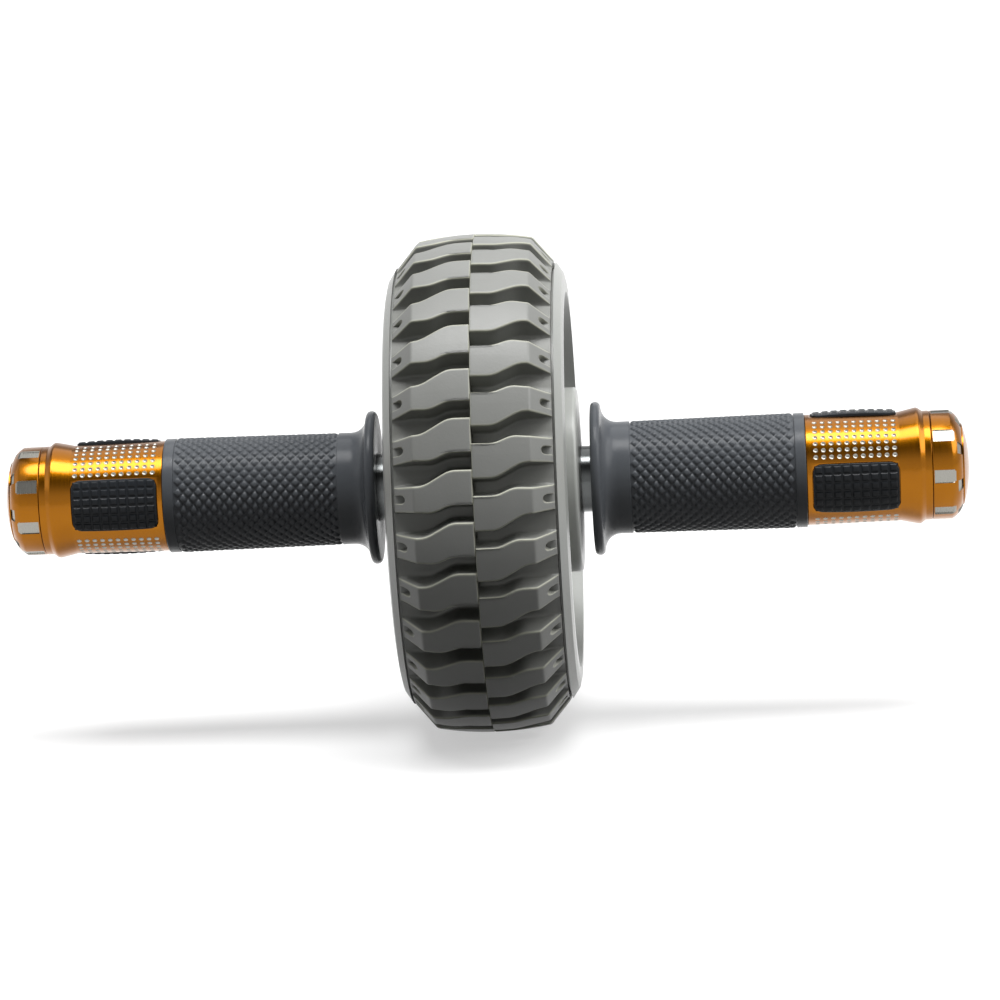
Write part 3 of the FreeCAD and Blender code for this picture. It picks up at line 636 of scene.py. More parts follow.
@dataclass
class TyreHalf(Fitting):
    """Rubber half tyre: stepped lugs over a smooth groove floor, with a slot in each shoulder."""

    seam_phase: float
    wheel_radius: float = 82.5
    crown_radius: float = 100.0
    crown_half_width: float = 18.8
    half_width: float = 25.4
    shoulder_radius: float = 72.8
    floor_radius: float = 75.5
    floor_end_radius: float = 72.3
    floor_curve: float = 1.8
    bore: float = 68.0
    lugs: int = 31
    edge_round: float = 0.45
    root_round: float = 0.9
    draft: float = 0.35
    seam_gap: float = 0.04
    seam_round: float = 0.3
    # Strength of the painted highlight on the rounded seam
    seam_highlight: float = 0.7
    slot_begin: float = 21.7
    slot_half: float = 1.5
    slot_middle: float = -2.1
    slot_floor: float = 73.5
    slot_fade: float = 3.0
    slot_land: float = 0.35
    slot_chamfer: float = 0.1
    slot_lip: float = 0.2
    knee: float = 1.7
    # Edges of a lug: the way round at distances from the seam
    high_line: Line = ((0, 0), (7.2, -0.1), (12.9, 2.4), (18.8, 2.0), (25.4, 2.6))
    low_line: Line = ((0, -11.2), (7.2, -11.3), (15.6, -6.6), (25.4, -6.2))

    BODY: ClassVar[Body] = Body.WHEEL
    # Most of a lug's height that one rounding takes, and where an arc's inner point lies
    ROUND_LIMIT: ClassVar[float] = 0.3
    ROOT_KNEE: ClassVar[float] = 0.3
    EDGE_KNEE: ClassVar[float] = 0.29
    GROOVE_STEPS: ClassVar[int] = 3
    # Even stations across the tread, and closer ones at the bevel, the slot and the side
    FIRST_STATION: ClassVar[float] = 0.9
    STATION_PITCH: ClassVar[float] = 1.2
    STATION_COUNT: ClassVar[int] = 20
    BEVEL_REACHES: ClassVar[tuple[float, ...]] = (-0.6, -0.3, 0.0, 0.3, 0.6)
    SLOT_REACHES: ClassVar[tuple[float, ...]] = (-0.4, 0.0, 0.12, 0.4, 0.9, 1.5)
    SIDE_STEP: ClassVar[float] = 0.4

    def top(self, a: float) -> float:
        """Radius of the lugs at a distance from the seam.

        Args:
            a: Distance from the seam.

        Returns:
            The radius, with the edge of the bevel eased.
        """
        rise = self.wheel_radius - self.crown_radius

        def envelope(place: float) -> float:
            """Radius of the crown, and of the bevel beside it.

            Args:
                place: Distance from the seam.

            Returns:
                The radius before the edge is eased.
            """
            inner = min(place, self.crown_half_width)
            crown = rise + math.sqrt(self.crown_radius ** 2 - inner ** 2)
            run = (place - inner) / (self.half_width - self.crown_half_width)
            return crown + (self.shoulder_radius - crown) * run

        return eased(envelope, a, self.edge_round)

    def floor(self, a: float) -> float:
        """Radius of the groove floor at a distance from the seam.

        Args:
            a: Distance from the seam.

        Returns:
            The radius, which falls faster towards the side.
        """
        share = max(a, 0.0) / self.half_width
        drop = self.floor_end_radius - self.floor_radius
        return self.floor_radius + drop * share ** self.floor_curve

    def seam_rings(self) -> Line:
        """Distance past the seam's edge and drop of the rings that round it."""
        inner = self.ROOT_KNEE * self.seam_round
        return ((0.0, self.seam_round), (inner, inner), (self.seam_round, 0.0))

    def stations(self) -> list[float]:
        """Distances from the seam, closer together where the surface turns.

        Returns:
            The distances, in order.
        """
        seam = [self.seam_gap + reach for reach, _ in self.seam_rings()]
        even = [self.FIRST_STATION + self.STATION_PITCH * k for k in range(self.STATION_COUNT)]
        bevel = [self.crown_half_width + reach for reach in self.BEVEL_REACHES]
        slot = [self.slot_begin + reach for reach in self.SLOT_REACHES]
        side = [self.half_width - self.SIDE_STEP, self.half_width]
        return sorted(seam + even + bevel + slot + side)

    def slot(self, a: float, top: float) -> list[TreadPoint]:
        """Points across the slot of a lug, which lie level before the slot begins.

        Args:
            a: Distance from the seam.
            top: Radius of the lug there.

        Returns:
            Points of the tread, upwards.
        """
        into = a - self.slot_begin
        if into > 0:
            bend = max(self.slot_half - into, 0.0)
            width = math.sqrt(self.slot_half ** 2 - bend ** 2)
            sunk = min(top, self.slot_floor)
            slot_highlight = 1.0
        else:
            width = self.slot_half * min(1.0, -into / self.slot_fade)
            sunk = top
            slot_highlight = 0.0
        # Third number: painted highlight on the slot's rim
        half = [
            (width + self.slot_land, top, 0.0, 0.0),
            (width + self.slot_chamfer, top, 0.4 * slot_highlight, 0.0),
            (width, max(sunk, top - self.slot_lip), 0.6 * slot_highlight, 0.0),
            (max(width - self.slot_chamfer, 0.0), sunk, 0.0, 0.0),
        ]
        lower = [(self.slot_middle - reach, *rest) for reach, *rest in half]
        upper = [(self.slot_middle + reach, *rest) for reach, *rest in reversed(half)]
        return [*lower, (self.slot_middle, sunk, 0.0, 0.0), *upper]

    def section(self, a: float) -> list[TreadPoint]:
        """One pitch of the tread at a distance from the seam.

        Args:
            a: Distance from the seam.

        Returns:
            Points of a lug and of the groove above it, upwards.
        """
        top = self.top(a)
        floor = self.floor(a)
        high = eased(lambda place: through(self.high_line, place), a, self.knee)
        low = eased(lambda place: through(self.low_line, place), a, self.knee)
        edge = min(self.edge_round, self.ROUND_LIMIT * (top - floor))
        root = min(self.root_round, self.ROUND_LIMIT * (top - floor))

        def flank(lip: float, out: float) -> list[TreadPoint]:
            """Wall of a lug from the groove to its top, at a lip, where out leads off the lug.

            Args:
                lip: The way round where the wall meets the top.
                out: 1 or -1, the way off the lug.

            Returns:
                Points from the groove to the top.
            """
            foot = lip + out * self.draft
            # Last two numbers of each point: painted highlight, strongest halfway round the lug's
            # edge, and painted shade, strongest at the foot of the wall
            return [
                (foot + out * root, floor, 0.0, 1.0),
                (foot + out * self.ROOT_KNEE * root, floor + self.ROOT_KNEE * root, 0.0, 1.0),
                (foot, floor + root, 0.0, 1.0),
                (lip + out * 0.1 * self.draft, max(top - 2 * edge, floor + root), 0.0, 0.6),
                (lip, top - edge, 0.4, 0.3),
                (lip - out * self.EDGE_KNEE * edge, top - self.EDGE_KNEE * edge, 1.0, 0.0),
                (lip - out * edge, top, 0.4, 0.0),
                (lip - out * 2 * edge, top, 0.0, 0.0),
            ]

        lower = flank(low, -1.0)
        slot = self.slot(a, top)
        upper = flank(high, 1.0)[::-1]
        ledge_low = ((lower[-1][0] + slot[0][0]) / 2, top, 0.0, 0.0)
        ledge_high = ((upper[0][0] + slot[-1][0]) / 2, top, 0.0, 0.0)
        start = upper[-1][0]
        run = lower[0][0] + math.tau * self.wheel_radius / self.lugs - start
        # The groove floor takes the full painted shade
        groove = [(start + run * (k + 1) / self.GROOVE_STEPS, floor, 0.0, 1.0)
                  for k in range(self.GROOVE_STEPS)]
        return [*lower, ledge_low, *slot, ledge_high, *upper, *groove]

    def build(self) -> None:
        """Makes one pitch of the half tyre, repeats it round the axle and dresses it."""
        rows: list[list[Point]] = []
        edges: list[list[float]] = []
        groove_shades: list[list[float]] = []
        stations = self.stations()
        drops = [drop for _, drop in self.seam_rings()]
        drops += [0.0] * (len(stations) - len(drops))
        for a, drop in zip(stations, drops):
            section = self.section(a)
            seam = self.seam_highlight if drop else 0.0
            rows.append([(a, way, r - drop - self.wheel_radius) for way, r, _, _ in section])
            # Painted highlight on the lug edges, and on the rounded seam wherever no painted shade
            # lies
            edges.append([mark if deep else max(mark, seam) for _, _, mark, deep in section])
            groove_shades.append([deep for _, _, _, deep in section])
        for outer in (rows[-1], rows[0]):
            rows.append([(a, way, self.bore - self.wheel_radius) for a, way, _ in outer])
            edges.append([0.0] * len(outer))
            groove_shades.append([1.0] * len(outer))
        shell = Shell().grid(rows, closed=True, marks={"edge": edges, "groove_shade": groove_shades})
        phase = self.side.drawn(self.seam_phase)
        mesh = Lattice(self.wheel_radius, sectors=self.lugs, phase=phase).repeat(shell, TREAD)
        self.add("tyre_half", "tread", mesh, TREAD, replaces=True)


@dataclass
class GripSleeve(Fitting):
    """Rubber sleeve: a bell-shaped flange, a knurl of raised diamonds and a smooth collar."""

    start: float = 35.4
    end: float = 105.85
    end_round: float = 0.4
    lip_bore: float = 11.3
    lip_dish: float = 0.35
    lip_round: float = 0.2
    core_start: float = 36.9
    bore: float = 13.6
    flange_radius: float = 25.4
    flange_end: float = 39.1
    flange_round: float = 1.5
    flange_slope: float = 0.6
    flange_fillet: float = 5.2
    inner_radius: float = 18.5
    outer_radius: float = 19.05
    knurl_start: float = 48.2
    knurl_end: float = 102.35
    knurl_step: float = 0.1
    knurl_round: float = 0.2
    knurl_columns: int = 31
    knurl_rows: int = 30
    knurl_depth: float = 0.7
    knurl_root: float = 0.1
    # Rings of a diamond above its foot: share of its width, and height against the surface
    foot_share: float = 0.9
    diamond: Line = ((0.62, -0.24), (0.42, -0.06), (0.2, 0.0), (0.0, 0.0))
    collar_radius: float = 18.95
    collar_round: float = 0.3

    @property
    def taper(self) -> float:
        """Growth of the radius for each millimetre along the axle."""
        return (self.outer_radius - self.inner_radius) / (self.knurl_end - self.flange_end)

    def surface(self, x: float) -> float:
        """Radius of the sleeve over its diamonds at a station."""
        return self.inner_radius + self.taper * (x - self.flange_end)

    def build_sleeve(self) -> None:
        """Turns the sleeve, with its knurled stretch sunk to the foot of the diamonds."""
        slope = self.flange_slope
        first = self.surface(self.knurl_start)
        last = self.surface(self.knurl_end)
        mesh = lathe("sleeve", rounded([
            (self.core_start, self.lip_bore, 0),
            (self.start + self.lip_dish, self.lip_bore, self.lip_round),
            (self.start, self.flange_radius, self.flange_round),
            (self.flange_end - slope, self.flange_radius, self.flange_round),
            (self.flange_end + slope, self.surface(self.flange_end), self.flange_fillet),
            (self.knurl_start, first, self.knurl_round),
            (self.knurl_start + self.knurl_step, first - self.knurl_depth, 0),
            (self.knurl_end - self.knurl_step, last - self.knurl_depth, 0),
            (self.knurl_end, self.collar_radius, self.collar_round),
            (self.end, self.collar_radius, self.end_round),
            (self.end, self.bore, 0),
            (self.core_start, self.bore, 0),
        ]))
        self.add("grip_sleeve", "rubber", mesh, GRIP, replaces=True)

    def build_knurl(self) -> None:
        """Repeats a blunt diamond over the knurled stretch, every other column half a row on."""
        pitch = (self.knurl_end - self.knurl_start) / (self.knurl_columns + 1)
        radius = self.surface(0.0)
        row_pitch = math.tau * radius / self.knurl_rows
        foot = (self.foot_share, -self.knurl_depth - self.knurl_root)
        shell = Shell().grid([
            [(self.knurl_start + pitch + u * size * pitch, v * size * row_pitch / 2, height)
             for u, v in ((1, 0), (0, -1), (-1, 0), (0, 1), (1, 0))]
            for size, height in (foot, *self.diamond)])
        lattice = Lattice(
            radius, columns=self.knurl_columns, rows=self.knurl_rows, column_pitch=pitch,
            row_pitch=row_pitch, stagger=0.5, taper=self.taper)
        self.add("grip_knurl", "", lattice.repeat(shell, GRIP), GRIP, crease=80)


@dataclass
class EndBody(Fitting):
    """Gold end body: recesses for three pads, bright dots between them and a swollen crest."""

    pad_angle: float
    dot_offset: float
    start: float = 105.85
    start_round: float = 0.35
    end: float = 146.9
    end_round: float = 0.25
    radius: float = 18.3
    neck: float = 136.6
    neck_radius: float = 17.95
    neck_round: float = 1.5
    crest: float = 142.95
    crest_radius: float = 19.35
    crest_round: float = 1.6
    waist: float = 144.7
    waist_radius: float = 18.05
    waist_round: float = 0.8
    inner_radius: float = 14.0
    pads: int = 3
    pad_middle: float = 121.95
    recess_half_length: float = 14.25
    recess_span: float = 54.6
    recess_corner: float = 3.0
    recess_floor: float = 17.2
    recess_brink: float = 0.12
    belt_start: float = 107.1
    belt_end: float = 136.4
    tile_span: float = 58.0
    dot_columns: int = 11
    dot_rows: int = 7
    dot_pitch: float = 2.58
    dot_row_angle: float = 7.4
    dot_radius: float = 0.78
    dot_depth: float = 0.3
    # Rings of a dot: share of its radius and of its depth
    dimple: Line = ((1.0, 0.0), (0.75, 0.5), (0.4, 0.9), (0.0, 1.0))

    # Faces across a pad, along each side of a dot's cell and across the margin beside the dots
    PAD_STEPS: ClassVar[int] = 32
    CELL_STEPS: ClassVar[int] = 4
    MARGIN_STEPS: ClassVar[int] = 3

    @property
    def taper(self) -> float:
        """Growth of the radius for each millimetre along the belt."""
        return (self.neck_radius - self.radius) / (self.neck - self.start)

    def surface(self, x: float) -> float:
        """Radius of the belt at a station."""
        return self.radius + self.taper * (x - self.start)

    @property
    def lattice(self) -> Lattice:
        """One sector for each pad, with the pad's middle at the tile's zero."""
        return Lattice(self.radius, sectors=self.pads, phase=self.side.drawn(self.pad_angle))

    def on_belt(self, x: float, angle: float) -> Point:
        """Tile point on the belt."""
        return self.lattice.flat(x, angle, self.surface(x))

    @property
    def dot_start(self) -> float:
        """Station where the first cell of dots begins."""
        return self.pad_middle - self.dot_columns * self.dot_pitch / 2

    @property
    def dot_low(self) -> float:
        """Angle where the first row of dots begins, between two pads."""
        return 180 / self.pads - self.dot_rows * self.dot_row_angle / 2 + self.dot_offset

    def pad_angles(self) -> list[float]:
        """Angles across the tile of a pad."""
        return [self.tile_span * (k / self.PAD_STEPS - 0.5) for k in range(self.PAD_STEPS + 1)]

    def dot_angles(self) -> list[float]:
        """Angles across the tile of dots and its margins.

        Returns:
            The angles, upwards.
        """
        low = self.tile_span / 2
        high = 360 / self.pads - low
        top = self.dot_low + self.dot_rows * self.dot_row_angle
        steps = self.MARGIN_STEPS
        rows = [self.dot_low + self.dot_row_angle * k / self.CELL_STEPS
                for k in range(self.CELL_STEPS * self.dot_rows)]
        return [*(low + (self.dot_low - low) * k / steps for k in range(steps)), *rows,
                *(top + (high - top) * k / steps for k in range(steps + 1))]

    def stations(self) -> list[float]:
        """Stations along the belt, at the dots and at both ends."""
        dots = [self.dot_start + self.dot_pitch * k / self.CELL_STEPS
                for k in range(self.CELL_STEPS * self.dot_columns + 1)]
        return [self.belt_start, *dots, self.belt_end]

    def add_ends(self, shell: Shell) -> None:
        """Adds the turned rings on both sides of the belt and closes the body inside.

        Args:
            shell: Shell of one third of the body.
        """
        belt = (self.belt_start, self.surface(self.belt_start), 0)
        inner = rounded([
            (self.start, self.inner_radius, 0),
            (self.start, self.surface(self.start), self.start_round), belt])
        outer = rounded([
            belt, (self.neck, self.neck_radius, self.neck_round),
            (self.crest, self.crest_radius, self.crest_round),
            (self.waist, self.waist_radius, self.waist_round),
            (self.end, self.waist_radius, self.end_round),
            (self.end, self.inner_radius, 0), (self.start, self.inner_radius, 0)])
        outer[0] = (self.belt_end, self.surface(self.belt_end))
        angles = self.pad_angles() + self.dot_angles()[1:]
        flat = self.lattice.flat
        for profile in (inner, outer):
            shell.grid([[flat(x, angle, r) for angle in angles] for x, r in profile])

    def add_recess(self, shell: Shell) -> None:
        """Adds the tile round a pad: its rim, the recess wall and the recess floor.

        Args:
            shell: Shell of one third of the body.
        """
        xs = self.stations()
        angles = self.pad_angles()
        around = [(x, angles[0]) for x in xs[:-1]] + [(xs[-1], a) for a in angles[:-1]]
        around += [(x, angles[-1]) for x in xs[:0:-1]] + [(xs[0], a) for a in angles[:0:-1]]
        around.append(around[0])
        middle = self.pad_middle

        def loop(grow: float, size: float = 1.0, radius: float | None = None) -> list[Point]:
            """Rounded outline of the recess, grown and scaled, at a radius or on the surface.

            Args:
                grow: How far it is grown.
                size: Scale about the pad's middle.
                radius: Radius that it lies at, or None for the belt's surface.

            Returns:
                A closed row of points.
            """
            length = self.recess_half_length + grow
            width = math.radians(self.recess_span / 2) * self.radius + grow
            corner = self.recess_corner + grow
            points = []
            for x, angle in around:
                reach = xs[-1] - middle if x > middle else middle - xs[0]
                spot = Vector(((x - middle) / reach * length, angle / angles[-1] * width))
                core = Vector((max(-length + corner, min(length - corner, spot.x)),
                               max(-width + corner, min(width - corner, spot.y))))
                spot = (core + (spot - core).normalized() * corner) * size
                high = self.surface(middle + spot.x) if radius is None else radius
                points.append((middle + spot.x, spot.y, high - self.radius))
            return points

        rim = [self.on_belt(x, angle) for x, angle in around]
        brink = [(x, y, z - self.recess_brink) for x, y, z in loop(0.0)]
        deep = [loop(0.0, size, self.recess_floor) for size in (1.0, 0.6, 0.0)]
        shell.grid([rim, loop(self.recess_brink), brink, *deep])

    def cell(self, column: int, row: int) -> tuple[list[Point], list[Point], Point]:
        """Draws one dot's cell flat on the belt.

        Args:
            column: Number of the dot along the axle.
            row: Number of the dot round the axle.

        Returns:
            The edge of the cell, the edge of the dot and the dot's middle.
        """
        middle = Vector((self.dot_start + self.dot_pitch * (column + 0.5),
                         self.dot_low + self.dot_row_angle * (row + 0.5)))
        shares = [-1 + 2 * k / self.CELL_STEPS for k in range(self.CELL_STEPS)]
        sides = [(share, -1) for share in shares] + [(1, share) for share in shares]
        sides += [(-u, -v) for u, v in sides]
        edge = []
        brim = []
        for u, v in [*sides, sides[0]]:
            edge.append(self.on_belt(middle.x + u * self.dot_pitch / 2,
                                     middle.y + v * self.dot_row_angle / 2))
            way = Vector((u, v)).normalized() * self.dot_radius
            x, y, z = self.on_belt(middle.x + way.x, middle.y)
            brim.append((x, y + way.y, z))
        return edge, brim, self.on_belt(*middle)

    def add_dotted(self, shell: Shell) -> None:
        """Adds the tile between two pads, with a round hole for each dot.

        Args:
            shell: Shell of one third of the body.
        """
        stations = self.stations()
        angles = self.dot_angles()
        rows = [[self.on_belt(x, angle) for angle in angles] for x in stations]
        ends = (0, len(stations) - 2)
        first = self.MARGIN_STEPS
        last = len(angles) - 1 - self.MARGIN_STEPS
        shell.grid(rows, keep=lambda r, c: r in ends or not first <= c < last)
        for column in range(self.dot_columns):
            for row in range(self.dot_rows):
                shell.grid(self.cell(column, row)[:2])

    def build_skin(self) -> None:
        """Makes one third of the gold skin and repeats it round the axle."""
        shell = Shell()
        self.add_ends(shell)
        self.add_recess(shell)
        self.add_dotted(shell)
        mesh = self.lattice.repeat(shell, GOLD)
        self.add("end_body", "gold", mesh, GOLD, replaces=True)

    def build_dots(self) -> None:
        """Repeats one dimple of bare metal over the rows and columns between the pads."""
        _, brim, middle = self.cell(0, 0)
        rows = []
        for size, depth in self.dimple:
            ring = [Vector(middle).lerp(Vector(point), size) for point in brim]
            sunk = depth * self.dot_depth
            rows.append([(p.x, p.y, p.z - self.taper * p.x - sunk) for p in ring])
        lattice = replace(
            self.lattice, columns=self.dot_columns, rows=self.dot_rows, taper=self.taper,
            column_pitch=self.dot_pitch, row_pitch=math.radians(self.dot_row_angle) * self.radius)
        self.add("end_dots", "", lattice.repeat(Shell().grid(rows), BARE), BARE)


@dataclass
class GripPads(Fitting):
    """Rubber pads in the gold end: crowned along the axle and covered with blunt pyramids."""

    pad_angle: float
    count: int = 3
    middle: float = 121.95
    half_length: float = 14.1
    span: float = 54.0
    corner: float = 2.9
    least_corner: float = 0.2
    radius: float = 18.3
    foot: float = -1.0
    edge_rise: float = 0.05
    face_rise: float = 0.25
    face_inset: float = 0.3
    crown: float = 0.55
    columns: int = 9
    rows: int = 6
    column_pitch: float = 3.05
    row_pitch: float = 2.75
    pyramid_base: float = 0.88
    pyramid_top: float = 0.6
    pyramid_rise: float = 0.35
    pyramid_root: float = 0.1
    blunt_share: float = 0.1
    blunt_drop: float = 0.06

    # Straight pieces round a corner and along a side, which let a pad bend round the axle
    CORNER_STEPS: ClassVar[int] = 6
    SIDE_STEPS: ClassVar[int] = 12
    CORNERS: ClassVar[tuple[tuple[int, int], ...]] = ((1, 1), (-1, 1), (-1, -1), (1, -1), (1, 1))

    @property
    def lattice(self) -> Lattice:
        """Pads round the axle, with each pad's middle at the tile's zero."""
        return Lattice(
            self.radius, sectors=self.count, phase=self.side.drawn(self.pad_angle),
            crown=self.crown, crown_middle=self.middle, crown_reach=self.half_length)

    def outline(self, inset: float, size: float, height: float) -> list[Point]:
        """Rounded outline of a pad.

        Args:
            inset: How far it is drawn in.
            size: Scale about the pad's middle.
            height: Height above the radius.

        Returns:
            Points clockwise from above, the first one again at the end.
        """
        corner = max(self.corner - inset, self.least_corner)
        core_x = self.half_length - inset - corner
        core_y = math.radians(self.span / 2) * self.radius - inset - corner
        spots = []
        for turn, ((u, v), (u1, v1)) in enumerate(zip(self.CORNERS, self.CORNERS[1:])):
            spots += [(u, v, (turn + k / self.CORNER_STEPS) * math.pi / 2)
                      for k in range(self.CORNER_STEPS + 1)]
            shares = [k / self.SIDE_STEPS for k in range(1, self.SIDE_STEPS)]
            spots += [(u + (u1 - u) * share, v + (v1 - v) * share, (turn + 1) * math.pi / 2)
                      for share in shares]
        points = [(self.middle + size * (u * core_x + corner * math.cos(way)),
                   size * (v * core_y + corner * math.sin(way)), height) for u, v, way in spots]
        return [*points, points[0]][::-1]

    def build_pads(self) -> None:
        """Makes one smooth crowned pad and repeats it round the axle."""
        inset = self.face_inset
        face = self.face_rise
        shell = Shell().grid([self.outline(*ring) for ring in (
            (inset, 0.0, self.foot), (0.0, 1.0, self.foot), (0.0, 1.0, self.edge_rise),
            (0.3 * inset, 1.0, 0.7 * face), (inset, 1.0, face), (inset, 0.7, face),
            (inset, 0.35, face), (inset, 0.0, face))])
        mesh = self.lattice.repeat(shell, PAD)
        self.add("grip_pads", "rubber", mesh, PAD, replaces=True)

    def build_pyramids(self) -> None:
        """Repeats one blunt pyramid in rows and columns over the pads."""
        x = self.middle - self.column_pitch * (self.columns - 1) / 2
        y = -self.row_pitch * (self.rows - 1) / 2
        high = self.face_rise + self.pyramid_rise
        rings = ((self.pyramid_base, self.face_rise - self.pyramid_root),
                 (self.pyramid_top, high - self.blunt_drop),
                 (self.pyramid_top - self.blunt_share, high), (0.0, high))
        shell = Shell().grid([
            [(x + u * size * self.column_pitch / 2, y + v * size * self.row_pitch / 2, z)
             for u, v in self.CORNERS[::-1]] for size, z in rings])
        lattice = replace(
            self.lattice, columns=self.columns, rows=self.rows, column_pitch=self.column_pitch,
            row_pitch=self.row_pitch)
        self.add("pad_pyramids", "", lattice.repeat(shell, PAD), PAD, crease=25)


@dataclass
class EndCap(Fitting):
    """Gold cap with bright notches milled in its edge and smaller marks round its mouth."""

    notch_angle: float
    start: float = 146.9
    start_draft: float = 0.1
    start_round: float = 0.4
    end: float = 157.05
    radius: float = 18.0
    land_end: float = 153.3
    mouth_radius: float = 13.9
    nose_round: float = 7.0
    bore: float = 11.5
    notches: int = 8
    notch_width: float = 4.2
    notch_start: float = 147.5
    notch_floor: float = 17.5
    mark_offset: float = 31.7
    mark_width: float = 3.3
    mark_start: float = 155.5
    mark_depth: float = 0.35
    # Half the slope of a cut's walls, along the axle and round it, and the room kept beside them
    wall: float = 0.06
    wall_angle: float = 0.15
    wall_clearance: float = 0.5

    NOSE_STEPS: ClassVar[int] = 12
    SECTOR_STEPS: ClassVar[int] = 16

    @property
    def lattice(self) -> Lattice:
        """One sector for each notch, with the notch's middle at the tile's zero."""
        return Lattice(self.radius, sectors=self.notches, phase=self.side.drawn(self.notch_angle))

    @property
    def notch_half(self) -> float:
        """Half the angle of a notch."""
        return math.degrees(math.asin(self.notch_width / 2 / self.notch_floor))

    @property
    def mark_half(self) -> float:
        """Half the angle of a mark."""
        return math.degrees(self.mark_width / 2 / self.mouth_radius)

    @property
    def mark_middle(self) -> float:
        """Angle of the mark in a notch's sector."""
        return self.mark_offset - 360 / self.notches

    def profile(self) -> Profile:
        """Outside of the cap from its joint to its mouth, closed inside.

        Returns:
            Stations and radii along it.
        """
        first = Vector((self.land_end, self.radius))
        chord = Vector((self.end, self.mouth_radius)) - first
        half = math.asin(chord.length / 2 / self.nose_round)
        normal = Vector((-chord.y, chord.x)).normalized()
        centre = first + chord / 2 - normal * self.nose_round * math.cos(half)
        joint = rounded([
            (self.start, self.bore, 0),
            (self.start + self.start_draft, self.radius, self.start_round),
            (self.land_end, self.radius, 0)])[:-1]
        land = [(self.notch_start + step, self.radius) for step in (-self.wall, self.wall)]
        nose = arc(centre, first - centre, 2 * half, self.NOSE_STEPS)
        return [*joint, *land, *nose, (self.end, self.bore)]

    def angles(self) -> list[float]:
        """Angles across one notch's sector, closer together at the walls of both cuts.

        Returns:
            The angles, upwards.
        """
        walls = [self.mark_middle - self.mark_half, self.mark_middle + self.mark_half,
                 -self.notch_half, self.notch_half]
        near = [wall + step for wall in walls for step in (-self.wall_angle, self.wall_angle)]
        even = [360 / self.notches * (k / self.SECTOR_STEPS - 0.5)
                for k in range(self.SECTOR_STEPS + 1)]
        clear = [a for a in even if min(abs(a - wall) for wall in walls) > self.wall_clearance]
        return sorted(near + clear)

    def cut(self, x: float, radius: float, angle: float) -> tuple[Point, bool]:
        """Cuts the notch and the mark into the surface.

        Args:
            x: Station of a point.
            radius: Radius of the uncut cap there.
            angle: Angle from the middle of the notch.

        Returns:
            The point after the cuts, and whether a cut has bared it.
        """
        floor = self.notch_floor / math.cos(math.radians(angle))
        if abs(angle) < self.notch_half and x > self.notch_start and radius > floor:
            return self.lattice.flat(x, angle, floor), True
        in_mark = abs(angle - self.mark_middle) < self.mark_half
        if in_mark and x > self.mark_start and radius > self.bore:
            depth = self.mark_depth
            return self.lattice.flat(x - depth, angle, radius - depth), True
        return self.lattice.flat(x, angle, radius), False

    def build(self) -> None:
        """Makes one sector of the cap, gold and bare metal apart, and repeats both."""
        angles = self.angles()
        spots = [[self.cut(x, r, angle) for angle in angles] for x, r in self.profile()]
        rows = [[point for point, _ in row] for row in spots]

        def bared(r: int, c: int) -> bool:
            """Whether any corner of a face lies in a cut, by its row and column."""
            pair = (spots[r], spots[(r + 1) % len(spots)])
            return any(row[k][1] for row in pair for k in (c, c + 1))

        for part, finish, bare in (("gold", GOLD, False), ("cuts", BARE, True)):
            shell = Shell().grid(rows, closed=True, keep=lambda r, c: bared(r, c) is bare)
            mesh = self.lattice.repeat(shell, finish)
            self.add("end_cap", part, mesh, finish, replaces=not bare, crease=35)


# Finishes of the solids that show as they are, by the first words of their names
NODE_FINISHES: dict[str, Finish] = {
    "rim_half": RIM,
    "hub_cap": RIM,
    "axle_tube": CHROME,
    "end_button": GOLD,
    "grip_core": CORE,
    "bearing": BEARING,
    "retaining_ring": STEEL,
    "rim_screws": STEEL,
    "axle_plug": STEEL,
    "handle": STEEL,
}


def dress_solids() -> None:
    """Gives every solid that shows as it is the finish of its kind."""
    for name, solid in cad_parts.items():
        finish = next((f for start, f in NODE_FINISHES.items() if name.startswith(start)), None)
        if finish:
            for slot in solid.material_slots:
                slot.material = finish.material()
            LOG.info("%s: %s", name, finish.name)


@dataclass(frozen=True)
class Lamp:
    """Soft light from far off: degrees up and round from the front, and how wide it looks."""

    name: str
    strength: float
    elevation: float
    swing: float
    spread: float

    def hang(self) -> None:
        """Adds the lamp to the scene."""
        light = bpy.data.lights.new(self.name, "SUN")
        light.energy = self.strength
        light.angle = math.radians(self.spread)
        lamp = bpy.data.objects.new(self.name, light)
        lamp.matrix_world = (Matrix.Rotation(math.radians(self.swing), 4, "Z")
                             @ Matrix.Rotation(math.radians(90 - self.elevation), 4, "X"))
        bpy.context.scene.collection.objects.link(lamp)


